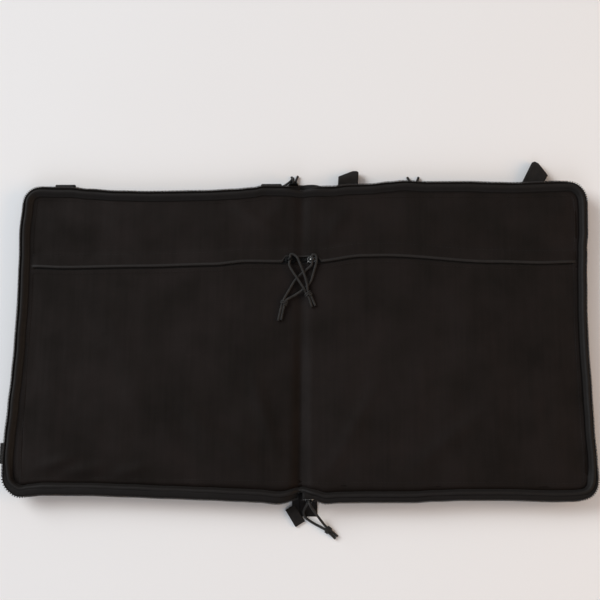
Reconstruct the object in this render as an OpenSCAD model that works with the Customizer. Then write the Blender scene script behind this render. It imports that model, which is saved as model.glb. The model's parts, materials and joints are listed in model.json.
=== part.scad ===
// Soft portfolio case, lying open like a book with its inside up.
// The spine fold runs along Y through the origin, the right leaf lies along +X,
// and Z = 0 is the table that the outer pockets and the spine rest on.

/* [Case] */
// Width of one leaf, from the spine fold to its bound edge
leaf_w = 340; // [310:1:400]
// Height of the case along the spine, bound edge to bound edge
leaf_h = 364; // [340:1:440]
// Radius of the outer corners
corner_r = 14; // [12:0.5:30]
// Half the width of the soft spine between the padded leaves
spine_half = 12; // [9:0.5:15]

/* [Layers] */
// Thickness of the padded outer pocket
outer_pocket_t = 8; // [8:0.1:14]
// Thickness of the pocket's fabric
pocket_fabric_t = 1; // [0.6:0.1:2]
// Thickness of the outer shell fabric
shell_t = 1; // [0.6:0.1:2]
// Thickness of the stiffener board
board_t = 1; // [0.6:0.1:3]
// Thickness of the foam
foam_t = 4; // [2:0.5:10]
// Thickness of the lining
lining_t = 0.8; // [0.4:0.1:1.6]
// Thickness of the inner pocket's panels
panel_t = 1.4; // [0.8:0.1:2.2]
// Distance of board and foam inside the binding's outer wall
core_inset = 3; // [1:0.5:8]

/* [Edge] */
// Width of the folded binding on each face
binding_w = 10; // [6:0.5:11]
// Thickness of the binding
binding_t = 0.8; // [0.5:0.1:1.5]
// Distance the main zip's tape leans out past the binding
zip_reach = 8; // [5:0.5:14]
// Thickness of the main zip's tape
zip_tape_t = 0.9; // [0.6:0.1:1.4]
// Height of the tape's sewn foot on the binding
tape_foot_h = 3; // [2:0.5:4]
// Diameter of one half of the main zip's coil
coil_d = 2.8; // [2:0.1:4]
// Distance from the spine fold to the end of each main coil
coil_end_x = 3; // [2:0.5:4]

/* [Pocket zips] */
// Height of the inner pocket's zip above the middle of the case
pocket_zip_y = 96; // [60:1:120]
// Height of the outer pocket's zip above the middle of the case
outer_zip_y = 118; // [90:1:119]
// Width of the zip between the panels on its two sides
zip_window = 11; // [10.5:0.5:14]
// Thickness of the pocket zips' tape
pocket_tape_t = 0.6; // [0.4:0.1:0.8]
// Width of the pocket zips' closed coil
chain_w = 4.4; // [3:0.1:5]
// Height of the pocket zips' closed coil
chain_h = 1.6; // [1.2:0.1:2.4]
// Distance of the outer pocket inside the bound edge
outer_pocket_inset = 14; // [12:0.5:24]
// Distance of the outer pocket from the spine strip
outer_pocket_gap = 4; // [2:0.5:12]
// Radius of the outer pocket's lower corners
outer_corner_r = 10; // [6:0.5:24]

/* [Sliders] */
// Length of a slider along its zip
slider_l = 12; // [11:0.5:16]
// Thickness of a slider's plate
slider_plate_t = 1; // [0.8:0.1:2]
// Thickness of a slider's side flanges
slider_flange_t = 1.4; // [1:0.1:2]
// Length of the bridge that holds the cord
bridge_l = 8; // [7.5:0.5:10]
// Width of the bridge across the zip
bridge_w = 3; // [2:0.5:5]
// Thickness of the bridge's bar and posts
bridge_t = 1; // [0.8:0.1:1.2]
// Place of the left inner slider, from the fold
left_slider_x = 14; // [12:1:40]
// Place of the right inner slider, from the fold
right_slider_x = 13; // [12:1:40]
// Place of the main zip's sliders, from the fold
main_slider_x = 10.5; // [10:0.5:30]
// Place of the left outer pocket's slider, from the pocket's far end
left_outer_slider_end = 26; // [16:1:250]
// Place of the right outer pocket's slider, from the fold
right_outer_slider_x = 138; // [60:1:310]

/* [Handles] */
// Width of the webbing
webbing_w = 25; // [15:1:30]
// Thickness of the webbing
webbing_t = 1.6; // [1:0.1:2]
// Distance of the handle's middle past the middle of its leaf
handle_shift = 1; // [-4:0.5:8]
// Distance between the middles of a handle's two legs
handle_span = 246; // [160:1:250]
// Depth of the handle from its fold to its grip's far edge
handle_depth = 64; // [50:1:66]
// Outer radius of the handle's bends
handle_bend_r = 42; // [32:1:48]
// Distance of the left handle's fold past the bound edge
left_handle_reach = 13; // [9:1:40]
// Distance of the right handle's fold past the bound edge
right_handle_reach = 33; // [9:1:40]
// Length of webbing sewn to the shell at each leg
anchor_l = 40; // [30:1:46]

/* [Tabs] */
// Length of the side tab past the bound edge
side_tab_reach = 18; // [12:1:30]
// Distance of the side tab's middle above the lower bound edge
side_tab_rise = 42; // [37:1:122]
// Width of the zip's end tag
tag_w = 13; // [10:1:20]
// Length of the zip's end tag
tag_l = 18; // [14:1:26]
// Thickness of the zip's end tag
tag_t = 1.8; // [1.2:0.1:3]
// Width of the zip's end between the spine and the tag
tail_w = 9; // [6:0.5:12]
// Length of the zip's end between the spine and the tag
tail_l = 24; // [22:1:34]
// Distance of the zip's end to the left of the fold
tail_x = 5.5; // [0:0.5:6]
// Turn of the tag, as it lies
tag_turn = 32; // [0:1:45]
// Width of the cloth tab behind the zip's end
end_tab_w = 30; // [26:1:34]
// Length of the cloth tab behind the zip's end
end_tab_l = 31; // [26:1:34]
// Thickness of the cloth tab behind the zip's end
end_tab_t = 1; // [0.6:0.1:1.2]

/* [Clearances] */
// Gap between a slider and its coil
slider_clear = 0.3; // [0.2:0.05:0.5]
// Gap between the two halves of anything that parts at the fold
fold_clear = 0.4; // [0.2:0.05:0.8]
// Gap between each main coil and the level of the fold
coil_gap = 0.2; // [0.1:0.05:0.4]
// Gap between the main zip's tape and its coil
tape_seat = 0.1; // [0.05:0.05:0.3]
// Gap between the side tab and the outer pocket
tab_gap = 1; // [0.4:0.1:2]
// Gap under what hangs just above the table
table_clear = 0.3; // [0.2:0.05:0.6]
// Gap between a handle's bead and its anchor
bead_clear = 0.15; // [0.1:0.05:0.4]
// Gap around the cords in a bridge or a knot
cord_clear = 0.2; // [0.15:0.05:0.4]

/* [Cords] */
// Diameter of the pull cords
cord_d = 2.8; // [2:0.1:2.8]
// Length of a knot
knot_l = 7; // [5:0.5:7.5]
// Thickness of a knot around its two strands
knot_t = 1.4; // [0.8:0.1:1.5]

/* [Hidden] */
$fn = 48;
cord_sides = 8;
half_h = leaf_h / 2;

// Levels of the layers above the table
z_shell = outer_pocket_t;
z_board = z_shell + shell_t;
z_foam = z_board + board_t;
z_lining = z_foam + foam_t;
z_panel = z_lining + lining_t;
z_panel_top = z_panel + panel_t;

// Sliders: sizes shared by all of them, measured out from the tape
bridge_gap = cord_d + 2 * cord_clear;
slider_top_h = slider_plate_t + bridge_gap + bridge_t;
chain_top = pocket_tape_t + chain_h + slider_clear;

// The fold lies just above the inner sliders, so that the closed leaves clear them
z_fold = z_panel + chain_top + slider_top_h + fold_clear;

// Main zip: the two coils meet at the fold's level when the case is closed
z_coil = z_fold - coil_gap - coil_d / 2;
coil_out = zip_reach + zip_tape_t / 2;
z_tape_foot = z_board;
z_tape_tip = z_coil - coil_d / 2 - tape_seat;
main_pair_h = 2 * (coil_d + coil_gap);
main_plate_out = coil_out + coil_d / 2 + slider_clear;

// Outer pocket and the band above it that holds the handle
outer_x0 = spine_half + outer_pocket_gap;
outer_x1 = leaf_w - outer_pocket_inset;
outer_y1 = outer_zip_y - zip_window / 2;

// Handles: webbing folded back under the leaf
handle_x = leaf_w / 2 + handle_shift;
z_handle = table_clear;
z_anchor = z_shell - binding_t - webbing_t;
bead_r = (z_anchor - bead_clear - z_handle - webbing_t) / 2;
z_bead = z_handle + webbing_t + bead_r;

// Strands of the pull cords, each from its slider's bridge to its cut end
left_pull_a = [
    [-14, 96, 19.9], [-15, 89, 20], [-11, 81, 21], [-5, 72, 21], [3, 59.5, 21],
    [5, 55.1, 19.4], [9.2, 48.3, 19.4], [13, 37, 17.8]
];
left_pull_b = [
    [-14, 96, 19.9], [-13, 102.5, 20.2], [-6, 99, 20.6], [-1, 88, 21], [4, 75, 21],
    [7, 64, 21], [7.8, 56.7, 19.4], [12, 49.9, 19.4], [17, 38.5, 17.8]
];
right_pull_a = [
    [13, 96, 19.9], [12, 89, 19.8], [6, 83.5, 17.8], [-1, 77.5, 17.8], [-8, 70, 17.8],
    [-15, 58, 17.9], [-21.1, 46.4, 19.4], [-23.9, 38.8, 19.4], [-28, 20, 17.8]
];
right_pull_b = [
    [13, 96, 19.9], [14, 103, 19.9], [21.5, 100.5, 19.4], [22, 89, 18.6], [16, 78, 17.8],
    [10, 67.5, 17.8], [0, 57.5, 17.8], [-9, 51, 17.9], [-18.1, 45.2, 19.4],
    [-20.9, 37.6, 19.4], [-24.5, 21, 17.8]
];
bottom_pull_a = [
    [10.5, -194.8, 23], [10.5, -195, 26.5], [12.5, -199.5, 30], [16, -205, 24], [19.5, -210, 15],
    [24, -216, 7],
    [30.9, -224.3, 3.4], [37.1, -229.3, 3.4], [44, -235, 1.8]
];
bottom_pull_b = [
    [10.5, -194.8, 23], [10.5, -194.9, 18], [7.5, -199, 10], [4, -206, 4], [6, -213, 3.4],
    [15, -219.5, 2.4],
    [28.9, -226.7, 3.4], [35.1, -231.7, 3.4], [41.5, -237.5, 1.8]
];
top_pull_a = [
    [-10.5, 194.8, 23], [-10.5, 195, 25.5], [-13, 195.4, 28], [-17, 195.8, 26.5], [-19.5, 196, 20],
    [-23.5, 195.5, 11], [-28.5, 191.5, 4], [-31, 183, 1.8], [-29.5, 174, 1.8],
    [-23.5, 170.5, 1.8], [-16.5, 176, 1.8], [-13.2, 182, 1.9], [-9, 187, 2.6],
    [-8.4, 191.5, 3.4], [-8.4, 199, 3.4], [-6, 207, 1.8]
];
top_pull_b = [
    [-10.5, 194.8, 23], [-10.5, 194.9, 18], [-16, 197, 8.5], [-24, 190, 2.4], [-25.5, 181, 1.8],
    [-22, 176.5, 1.8], [-19.5, 180, 1.8], [-16.5, 184.5, 1.9], [-12.3, 188, 2.8],
    [-11.6, 191.5, 3.4], [-11.6, 199, 3.4], [-14, 206, 1.8]
];
outer_pull_a = [
    [138, 118, 2.9], [130.5, 118.5, 2.9], [128.5, 128, 3.2], [131.5, 146, 3.6],
    [135, 166, 3.6], [136.4, 182, 3.9], [136.4, 190, 3.9], [131, 205, 1.8]
];
outer_pull_b = [
    [138, 118, 2.9], [145.5, 118.5, 2.9], [147.5, 128, 3.2], [144.5, 146, 3.6],
    [141, 166, 3.6], [139.6, 182, 3.9], [139.6, 190, 3.9], [145, 205, 1.8]
];

// Place and turn of each knot, in the middle of its two strands
left_knot = [8.5, 52.5, 19.4];
left_knot_turn = -58;
right_knot = [-21, 42, 19.4];
right_knot_turn = -110;
bottom_knot = [33, -228, 3.4];
bottom_knot_turn = -39;
top_knot = [-10, 195, 3.4];
top_knot_turn = 90;
outer_knot = [138, 186, 3.9];
outer_knot_turn = 90;
strand_pitch = 3.2;

// Colours
fabric_colour = "#24211f";
lining_colour = "#1c1b1b";
foam_colour = "#3a3a3c";
board_colour = "#2b2b2b";
tape_colour = "#1a1918";
binding_colour = "#2e2b29";
coil_colour = "#141414";
webbing_colour = "#201e1d";
metal_colour = "#4a4a4c";
cord_colour = "#181716";

// Puts the right leaf's shape on the left leaf
module on_left() {
    mirror([1, 0, 0]) children();
}

// Outline of the right leaf, pulled in by inset, from x0 outward
module leaf_outline(inset, x0) {
    edge_x = leaf_w - inset;
    edge_y = half_h - inset;
    r = corner_r - inset;
    translate([x0, -edge_y]) square([edge_x - r - x0, 2 * edge_y]);
    translate([x0, -edge_y + r]) square([edge_x - x0, 2 * (edge_y - r)]);
    for (side = [-1, 1])
        translate([edge_x - r, side * (edge_y - r)]) circle(r);
}

// One flat layer of the right leaf
module leaf_layer(inset, x0, z, thickness) {
    translate([0, 0, z]) linear_extrude(thickness) leaf_outline(inset, x0);
}

// Sweeps a profile, drawn outward and up, along the right leaf's three free edges
module edge_run(x0) {
    run_x = leaf_w - corner_r;
    run_y = half_h - corner_r;
    for (side = [0, 1]) mirror([0, side, 0]) {
        translate([x0, half_h, 0]) rotate([90, 0, 90]) linear_extrude(run_x - x0) children();
        translate([run_x, run_y, 0]) rotate_extrude(angle = 90) translate([corner_r, 0]) children();
    }
    translate([leaf_w, run_y, 0]) rotate([90, 0, 0]) linear_extrude(2 * run_y) children();
}

// Folded binding around the layers' edge: two faces and the wall between them
module binding_profile() {
    z0 = z_shell - binding_t;
    z1 = z_panel + binding_t;
    translate([-binding_t, z0]) square([binding_t, z1 - z0]);
    translate([-binding_w, z0]) square([binding_w, binding_t]);
    translate([-binding_w, z_panel]) square([binding_w, binding_t]);
}

// Half of the main zip's tape: a sewn foot and a strip that leans out and up
module tape_profile() {
    z_knee = z_tape_foot + tape_foot_h;
    polygon([
        [0, z_tape_foot], [zip_tape_t, z_tape_foot], [zip_tape_t, z_knee],
        [zip_reach + zip_tape_t, z_tape_tip], [zip_reach, z_tape_tip], [0, z_knee]
    ]);
}

module coil_profile() {
    translate([coil_out, z_coil]) circle(d = coil_d);
}

// Part of the inner pocket between two heights, inside the binding
module inner_panel(y0, y1) {
    translate([0, 0, z_panel]) linear_extrude(panel_t) intersection() {
        leaf_outline(binding_w, fold_clear / 2);
        translate([0, y0]) square([leaf_w, y1 - y0]);
    }
}

// Outline of the outer pocket, pulled in by inset
module outer_pocket_outline(inset) {
    x0 = outer_x0 + inset;
    x1 = outer_x1 - inset;
    y0 = -half_h + outer_pocket_inset + inset;
    y1 = outer_y1 - inset;
    r = outer_corner_r - inset;
    translate([x0 + r, y0]) square([x1 - x0 - 2 * r, y1 - y0]);
    translate([x0, y0 + r]) square([x1 - x0, y1 - y0 - r]);
    for (x = [x0 + r, x1 - r])
        translate([x, y0 + r]) circle(r);
}

// Slider seen with its zip along X and its tape at Z = 0
// pair_w and pair_h are the coils it covers, drop is how far its flanges reach down
module slider_body(pair_w, pair_h, drop, bridge_turn, flanges = [0, 1]) {
    width = pair_w + 2 * (slider_clear + slider_flange_t);
    z_plate = pair_h + slider_clear;
    translate([-slider_l / 2, -width / 2, z_plate]) cube([slider_l, width, slider_plate_t]);
    for (side = flanges) mirror([0, side, 0])
        translate([-slider_l / 2, width / 2 - slider_flange_t, z_plate - drop])
            cube([slider_l, slider_flange_t, drop]);
    translate([0, 0, z_plate + slider_plate_t]) rotate(bridge_turn) slider_bridge();
}

// Bridge over the plate: two posts and a bar with a round back
module slider_bridge() {
    for (side = [0, 1]) mirror([side, 0, 0])
        translate([bridge_l / 2 - bridge_t, -bridge_w / 2, 0])
            cube([bridge_t, bridge_w, bridge_gap]);
    translate([-bridge_l / 2, 0, bridge_gap]) intersection() {
        rotate([0, 90, 0]) cylinder(d = bridge_w, h = bridge_l);
        translate([0, -bridge_w / 2, 0]) cube([bridge_l, bridge_w, bridge_t]);
    }
}

// Slider of a pocket zip, at its place along the zip
module pocket_slider(x, y, z) {
    translate([x, y, z]) slider_body(chain_w, chain_h, chain_h, 0);
}

// Slider of an outer pocket's zip, which faces the table
module outer_slider(x) {
    translate([x, outer_zip_y, z_shell - pocket_tape_t]) rotate([180, 0, 0])
        slider_body(chain_w, chain_h, chain_h, 90);
}

// Slider of the main zip at the top edge, facing outward over both coils
// Only its own leaf's side has a flange, so the other coil can come in as the case closes
module main_slider(x) {
    hook = main_plate_out - zip_reach - zip_tape_t - slider_clear;
    translate([x, half_h + main_plate_out - coil_d - slider_clear, z_fold]) rotate([-90, 0, 0])
        slider_body(main_pair_h, coil_d, hook, 0, [0]);
}

// Closed zip of a pocket on the right leaf: woven tape, and the coil down its middle
module zip_tape(x0, x1, y, z) {
    translate([x0, y - zip_window / 2, z]) cube([x1 - x0, zip_window, pocket_tape_t]);
}

module zip_coil(x0, x1, y, z) {
    translate([x0, y, z]) rotate([90, 0, 90]) linear_extrude(x1 - x0) coil_section();
}

// Flat coil with rounded sides
module coil_section() {
    r = chain_h / 2;
    translate([-chain_w / 2 + r, 0]) square([chain_w - chain_h, chain_h]);
    for (side = [-1, 1])
        translate([side * (chain_w / 2 - r), r]) circle(r);
}

// Tongue with two round corners: width w along X, depth d along -Y
module tongue(w, d, r) {
    translate([-w / 2, -d + r]) square([w, d - r]);
    translate([-w / 2 + r, -d]) square([w - 2 * r, d]);
    for (side = [-1, 1])
        translate([side * (w / 2 - r), -d + r]) intersection() {
            circle(r);
            translate([-r, -r]) square([2 * r, min(d, 2 * r)]);
        }
}

// Webbing handle folded back under the right leaf, with a round bead at each leg's fold
module handle(reach) {
    translate([handle_x, half_h + reach, 0]) {
        translate([0, 0, z_handle]) linear_extrude(webbing_t) difference() {
            tongue(handle_span + webbing_w, handle_depth, handle_bend_r);
            tongue(handle_span - webbing_w, handle_depth - webbing_w, handle_bend_r - webbing_w);
        }
        for (side = [-1, 1]) translate([side * handle_span / 2 - webbing_w / 2, 0, 0]) {
            translate([0, 0, z_bead]) rotate([0, 90, 0]) cylinder(r = bead_r, h = webbing_w);
            translate([0, -bead_r, z_handle]) cube([webbing_w, bead_r, z_bead - z_handle]);
        }
    }
}

// The two sewn ends of a handle, running out past the edge to the fold
module handle_anchors(reach) {
    for (side = [-1, 1])
        translate([handle_x + side * handle_span / 2 - webbing_w / 2, half_h - anchor_l, z_anchor])
            cube([webbing_w, anchor_l + reach - fold_clear, webbing_t]);
}

// Tube along a strand's own points, with a flat cap on each end
function direction(p, i) = let (v = p[min(i + 1, len(p) - 1)] - p[max(i - 1, 0)]) v / norm(v);
function across(v) = let (s = cross(v, [0, 0, 1])) s / norm(s);
function levelled(s, v) = let (w = s - (s * v) * v) w / norm(w);
function side_at(p, i) =
    i == 0 ? across(p[2] - p[0]) : levelled(side_at(p, i - 1), direction(p, i));
function strand_ring(p, i) =
    let (v = direction(p, i), s = levelled(side_at(p, i), v), u = cross(s, v))
    [for (k = [0 : cord_sides - 1]) let (a = 360 * k / cord_sides)
        p[i] + cord_d / 2 * (cos(a) * s + sin(a) * u)];

module strand(p) {
    n = cord_sides;
    last = (len(p) - 1) * n;
    rings = [for (i = [0 : len(p) - 1]) each strand_ring(p, i)];
    sides = [for (i = [0 : len(p) - 2], k = [0 : n - 1]) let (m = (k + 1) % n)
        [i * n + k, i * n + m, (i + 1) * n + m, (i + 1) * n + k]];
    caps = [[for (k = [n - 1 : -1 : 0]) k], [for (k = [0 : n - 1]) last + k]];
    polyhedron(points = rings, faces = concat(sides, caps));
}

// Both strands of one pull, parted where they meet in the middle of the bridge
module pull(p, q) {
    color(cord_colour) {
        strand(p);
        strand(q);
    }
}

// Knot: the cord's own wrap around the two strands
module knot(place, turn) {
    inner_w = strand_pitch + cord_d + 2 * cord_clear;
    inner_h = cord_d + 2 * cord_clear;
    color(cord_colour) translate(place) rotate([0, 0, turn]) rotate([90, 0, 90])
        translate([0, 0, -knot_l / 2]) linear_extrude(knot_l) difference() {
            slot(inner_w + 2 * knot_t, inner_h + 2 * knot_t);
            slot(inner_w, inner_h);
        }
}

module slot(w, h) {
    square([w - h, h], center = true);
    for (side = [-1, 1])
        translate([side * (w - h) / 2, 0]) circle(d = h);
}

// Parts that both leaves have, drawn on the right leaf
module outer_shell() {
    color(fabric_colour) leaf_layer(binding_t, spine_half, z_shell, shell_t);
}

module stiffener_board() {
    color(board_colour) leaf_layer(core_inset, spine_half, z_board, board_t);
}

module foam_pad() {
    color(foam_colour) leaf_layer(core_inset, spine_half, z_foam, foam_t);
}

module lining() {
    color(lining_colour) leaf_layer(binding_t, spine_half, z_lining, lining_t);
}

module pocket_panel() {
    color(fabric_colour) inner_panel(-half_h, pocket_zip_y - zip_window / 2);
}

module header_panel() {
    color(fabric_colour) inner_panel(pocket_zip_y + zip_window / 2, half_h);
}

module pocket_zip_tape() {
    color(tape_colour) zip_tape(fold_clear / 2, leaf_w - binding_w, pocket_zip_y, z_panel);
}

module pocket_zip_coil() {
    color(coil_colour)
        zip_coil(coil_end_x, leaf_w - binding_w, pocket_zip_y, z_panel + pocket_tape_t);
}

module edge_binding() {
    color(binding_colour) edge_run(spine_half) binding_profile();
}

module main_zip_tape() {
    color(tape_colour) edge_run(coil_end_x) tape_profile();
}

module main_zip_coil() {
    color(coil_colour) edge_run(coil_end_x) coil_profile();
}

module outer_pocket() {
    color(fabric_colour) difference() {
        linear_extrude(outer_pocket_t) outer_pocket_outline(0);
        translate([0, 0, pocket_fabric_t])
            linear_extrude(outer_pocket_t) outer_pocket_outline(pocket_fabric_t);
    }
}

module outer_pocket_foam() {
    color(foam_colour) translate([0, 0, pocket_fabric_t])
        linear_extrude(outer_pocket_t - pocket_fabric_t) outer_pocket_outline(pocket_fabric_t);
}

module outer_zip_tape() {
    color(tape_colour) zip_tape(outer_x0, outer_x1, outer_zip_y, z_shell - pocket_tape_t);
}

module outer_zip_coil() {
    color(coil_colour)
        zip_coil(outer_x0, outer_x1, outer_zip_y, z_shell - pocket_tape_t - chain_h);
}

// Parts that only one side has
module side_tab() {
    thickness = 2 * webbing_t;
    root_x = outer_x1 + tab_gap;
    color(webbing_colour)
        translate([root_x, side_tab_rise - half_h - webbing_w / 2, z_shell - binding_t - thickness]) {
            cube([leaf_w + side_tab_reach - thickness / 2 - root_x, webbing_w, thickness]);
            translate([leaf_w + side_tab_reach - thickness / 2 - root_x, 0, thickness / 2])
                rotate([-90, 0, 0]) cylinder(d = thickness, h = webbing_w);
        }
}

// Channel of shell fabric between the leaves: a floor on the table and two low walls
module spine_strip() {
    wall_h = z_board;
    strip_h = 2 * (half_h - binding_t);
    color(fabric_colour) {
        translate([-spine_half, -strip_h / 2, 0]) cube([2 * spine_half - fold_clear, strip_h, shell_t]);
        translate([-spine_half, -strip_h / 2, 0]) cube([shell_t, strip_h, wall_h]);
        translate([spine_half - fold_clear - shell_t, -strip_h / 2, 0]) cube([shell_t, strip_h, wall_h]);
    }
}

// End of the main zip: both tapes run out of the spine into a folded tag, with a cloth tab beside it
module zip_end_tag() {
    y_root = -(half_h - binding_t);
    x_root = -tail_x - tail_w / 2;
    color(webbing_colour) {
        linear_extrude(tag_t) {
            translate([x_root, y_root - tail_l]) square([tail_w, tail_l]);
            translate([x_root, y_root - tail_l]) rotate(tag_turn)
                translate([-tag_w / 2, -tag_l]) square([tag_w, tag_l + tail_w / 2]);
        }
        translate([x_root, y_root - end_tab_l, 0]) cube([end_tab_w, end_tab_l, end_tab_t]);
    }
}

// Sewn stop that closes the main zip's other end on the spine
module zip_top_stop() {
    color(webbing_colour) translate([-tail_w / 2, half_h - binding_t, 0])
        cube([tail_w, tail_w, tag_t]);
}

on_left() outer_shell();  // left_outer_shell
on_left() stiffener_board();  // left_stiffener_board
on_left() foam_pad();  // left_foam_pad
on_left() lining();  // left_lining
on_left() pocket_panel();  // left_pocket_panel
on_left() header_panel();  // left_header_panel
on_left() pocket_zip_tape();  // left_pocket_zip_tape
on_left() pocket_zip_coil();  // left_pocket_zip_coil
on_left() edge_binding();  // left_edge_binding
on_left() main_zip_tape();  // left_main_zip_tape
on_left() main_zip_coil();  // left_main_zip_coil
on_left() outer_pocket();  // left_outer_pocket
on_left() outer_pocket_foam();  // left_outer_pocket_foam
on_left() outer_zip_tape();  // left_outer_zip_tape
on_left() outer_zip_coil();  // left_outer_zip_coil
color(webbing_colour) on_left() handle_anchors(left_handle_reach);  // left_handle_anchors
color(webbing_colour) on_left() handle(left_handle_reach);  // left_handle
on_left() side_tab();  // left_side_tab
outer_shell();  // right_outer_shell
stiffener_board();  // right_stiffener_board
foam_pad();  // right_foam_pad
lining();  // right_lining
pocket_panel();  // right_pocket_panel
header_panel();  // right_header_panel
pocket_zip_tape();  // right_pocket_zip_tape
pocket_zip_coil();  // right_pocket_zip_coil
edge_binding();  // right_edge_binding
main_zip_tape();  // right_main_zip_tape
main_zip_coil();  // right_main_zip_coil
outer_pocket();  // right_outer_pocket
outer_pocket_foam();  // right_outer_pocket_foam
outer_zip_tape();  // right_outer_zip_tape
outer_zip_coil();  // right_outer_zip_coil
color(webbing_colour) handle_anchors(right_handle_reach);  // right_handle_anchors
color(webbing_colour) handle(right_handle_reach);  // right_handle
spine_strip();
zip_end_tag();
zip_top_stop();
color(metal_colour) pocket_slider(-left_slider_x, pocket_zip_y, z_panel + pocket_tape_t);  // left_pocket_slider
color(metal_colour) pocket_slider(right_slider_x, pocket_zip_y, z_panel + pocket_tape_t);  // right_pocket_slider
color(metal_colour) mirror([0, 1, 0]) main_slider(main_slider_x);  // bottom_main_slider
color(metal_colour) main_slider(-main_slider_x);  // top_main_slider
color(metal_colour) outer_slider(left_outer_slider_end - outer_x1);  // left_outer_slider
color(metal_colour) outer_slider(right_outer_slider_x);  // right_outer_slider
pull(left_pull_a, left_pull_b);  // left_pocket_pull
pull(right_pull_a, right_pull_b);  // right_pocket_pull
pull(bottom_pull_a, bottom_pull_b);  // bottom_main_pull
pull(top_pull_a, top_pull_b);  // top_main_pull
pull(outer_pull_a, outer_pull_b);  // right_outer_pull
knot(left_knot, left_knot_turn);  // left_pocket_knot
knot(right_knot, right_knot_turn);  // right_pocket_knot
knot(bottom_knot, bottom_knot_turn);  // bottom_main_knot
knot(top_knot, top_knot_turn);  // top_main_knot
knot(outer_knot, outer_knot_turn);  // right_outer_knot
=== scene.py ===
# %% [markdown]
# # A zipped portfolio case in black nylon
# The case lies open like a book, inside up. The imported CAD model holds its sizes, layers and joints. This
# lesson dresses that model: each soft part becomes a mesh with the seams, folds and weave of the real one.
# Lengths are written in millimetres, as on a sewing pattern, and `MM` turns them into Blender's metres.

# %% Load the frame
import json
import math
import bmesh
import bpy
from mathutils import Matrix, Quaternion, Vector, geometry, noise


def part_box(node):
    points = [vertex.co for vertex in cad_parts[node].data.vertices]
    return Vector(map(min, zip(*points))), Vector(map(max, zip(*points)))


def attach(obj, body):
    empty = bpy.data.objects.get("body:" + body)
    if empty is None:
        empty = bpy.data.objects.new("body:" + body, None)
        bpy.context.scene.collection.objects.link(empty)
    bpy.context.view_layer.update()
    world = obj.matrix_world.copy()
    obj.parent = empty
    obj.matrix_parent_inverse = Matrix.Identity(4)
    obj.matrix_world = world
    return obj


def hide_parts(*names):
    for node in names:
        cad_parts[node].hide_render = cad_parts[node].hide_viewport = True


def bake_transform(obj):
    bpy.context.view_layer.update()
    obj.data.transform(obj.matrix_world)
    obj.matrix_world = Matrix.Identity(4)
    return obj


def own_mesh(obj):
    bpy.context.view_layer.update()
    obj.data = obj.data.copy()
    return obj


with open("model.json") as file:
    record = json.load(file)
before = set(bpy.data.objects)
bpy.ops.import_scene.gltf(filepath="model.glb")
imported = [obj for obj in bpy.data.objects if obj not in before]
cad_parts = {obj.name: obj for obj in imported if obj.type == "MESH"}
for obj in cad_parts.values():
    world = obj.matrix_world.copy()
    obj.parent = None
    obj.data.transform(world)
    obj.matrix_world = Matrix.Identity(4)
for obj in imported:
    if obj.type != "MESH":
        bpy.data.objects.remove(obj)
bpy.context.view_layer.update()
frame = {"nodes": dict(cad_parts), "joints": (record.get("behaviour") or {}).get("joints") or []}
scene = bpy.context.scene
scene.view_settings.view_transform = "Standard"
MM = 0.001

# %% [markdown]
# ## Camera
# The picture looks down at the case from its lower edge, a little from the right. A pinhole camera was fitted
# to the corners and to the pulls in the middle, and its eye, direction and focal length are kept here as
# plain values. The top of the picture points along the case's own Y, but for a slight roll.

# %% Camera
EYE = Vector((49.1, -205.0, 1328.3)) * MM
LOOK = Vector((-0.038, 0.1878, -0.9815)).normalized()
ROLL_DEG = 0.4
FOCAL_PX, FRAME_PX = 1100, 600
lens = bpy.data.cameras.new("studio_camera")
lens.lens = lens.sensor_width * FOCAL_PX / FRAME_PX
camera = bpy.data.objects.new("studio_camera", lens)
camera.location = EYE
camera.rotation_mode = "QUATERNION"
right = LOOK.cross((0, 1, 0)).normalized()
axes = Matrix((right, right.cross(LOOK), -LOOK)).transposed()
camera.rotation_quaternion = axes.to_quaternion() @ Quaternion((0, 0, 1), math.radians(ROLL_DEG))
scene.collection.objects.link(camera)
scene.camera = camera
print("lens", round(lens.lens, 1), "mm")

# %% [markdown]
# ## Node helpers
# A shader takes linear light, but a colour is chosen as an sRGB hex value, so one function converts
# it. One more adds any node: inputs are values or the sockets they come from, the rest are its settings.
# Every finish here ends alike, in two tones, an uneven gloss and a relief, so `surface` does that once.

# %% Node helpers
def linear(hex_colour):
    """The linear RGBA of an sRGB hex colour."""
    srgb = [int(hex_colour[i:i + 2], 16) / 255 for i in (1, 3, 5)]
    return [c / 12.92 if c <= 0.04045 else ((c + 0.055) / 1.055) ** 2.4 for c in srgb] + [1]


def add(tree, kind, inputs=(), out=0, **settings):
    """Adds a shader node, sets it, links it, and gives one of its output sockets."""
    node = tree.nodes.new("ShaderNode" + kind)
    for name, value in settings.items():
        setattr(node, name, value)
    for name, value in dict(inputs).items():
        if isinstance(value, bpy.types.NodeSocket):
            tree.links.new(value, node.inputs[name])
        else:
            node.inputs[name].default_value = value
    return node.outputs[out]


def new_material(name, **sockets):
    """A material with its Principled shader, and that shader's plain socket values."""
    material = bpy.data.materials.new(name)
    material.use_nodes = True
    shader = material.node_tree.nodes["Principled BSDF"]
    for socket, value in sockets.items():
        shader.inputs[socket.replace("_", " ")].default_value = value
    return material, material.node_tree, shader


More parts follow.
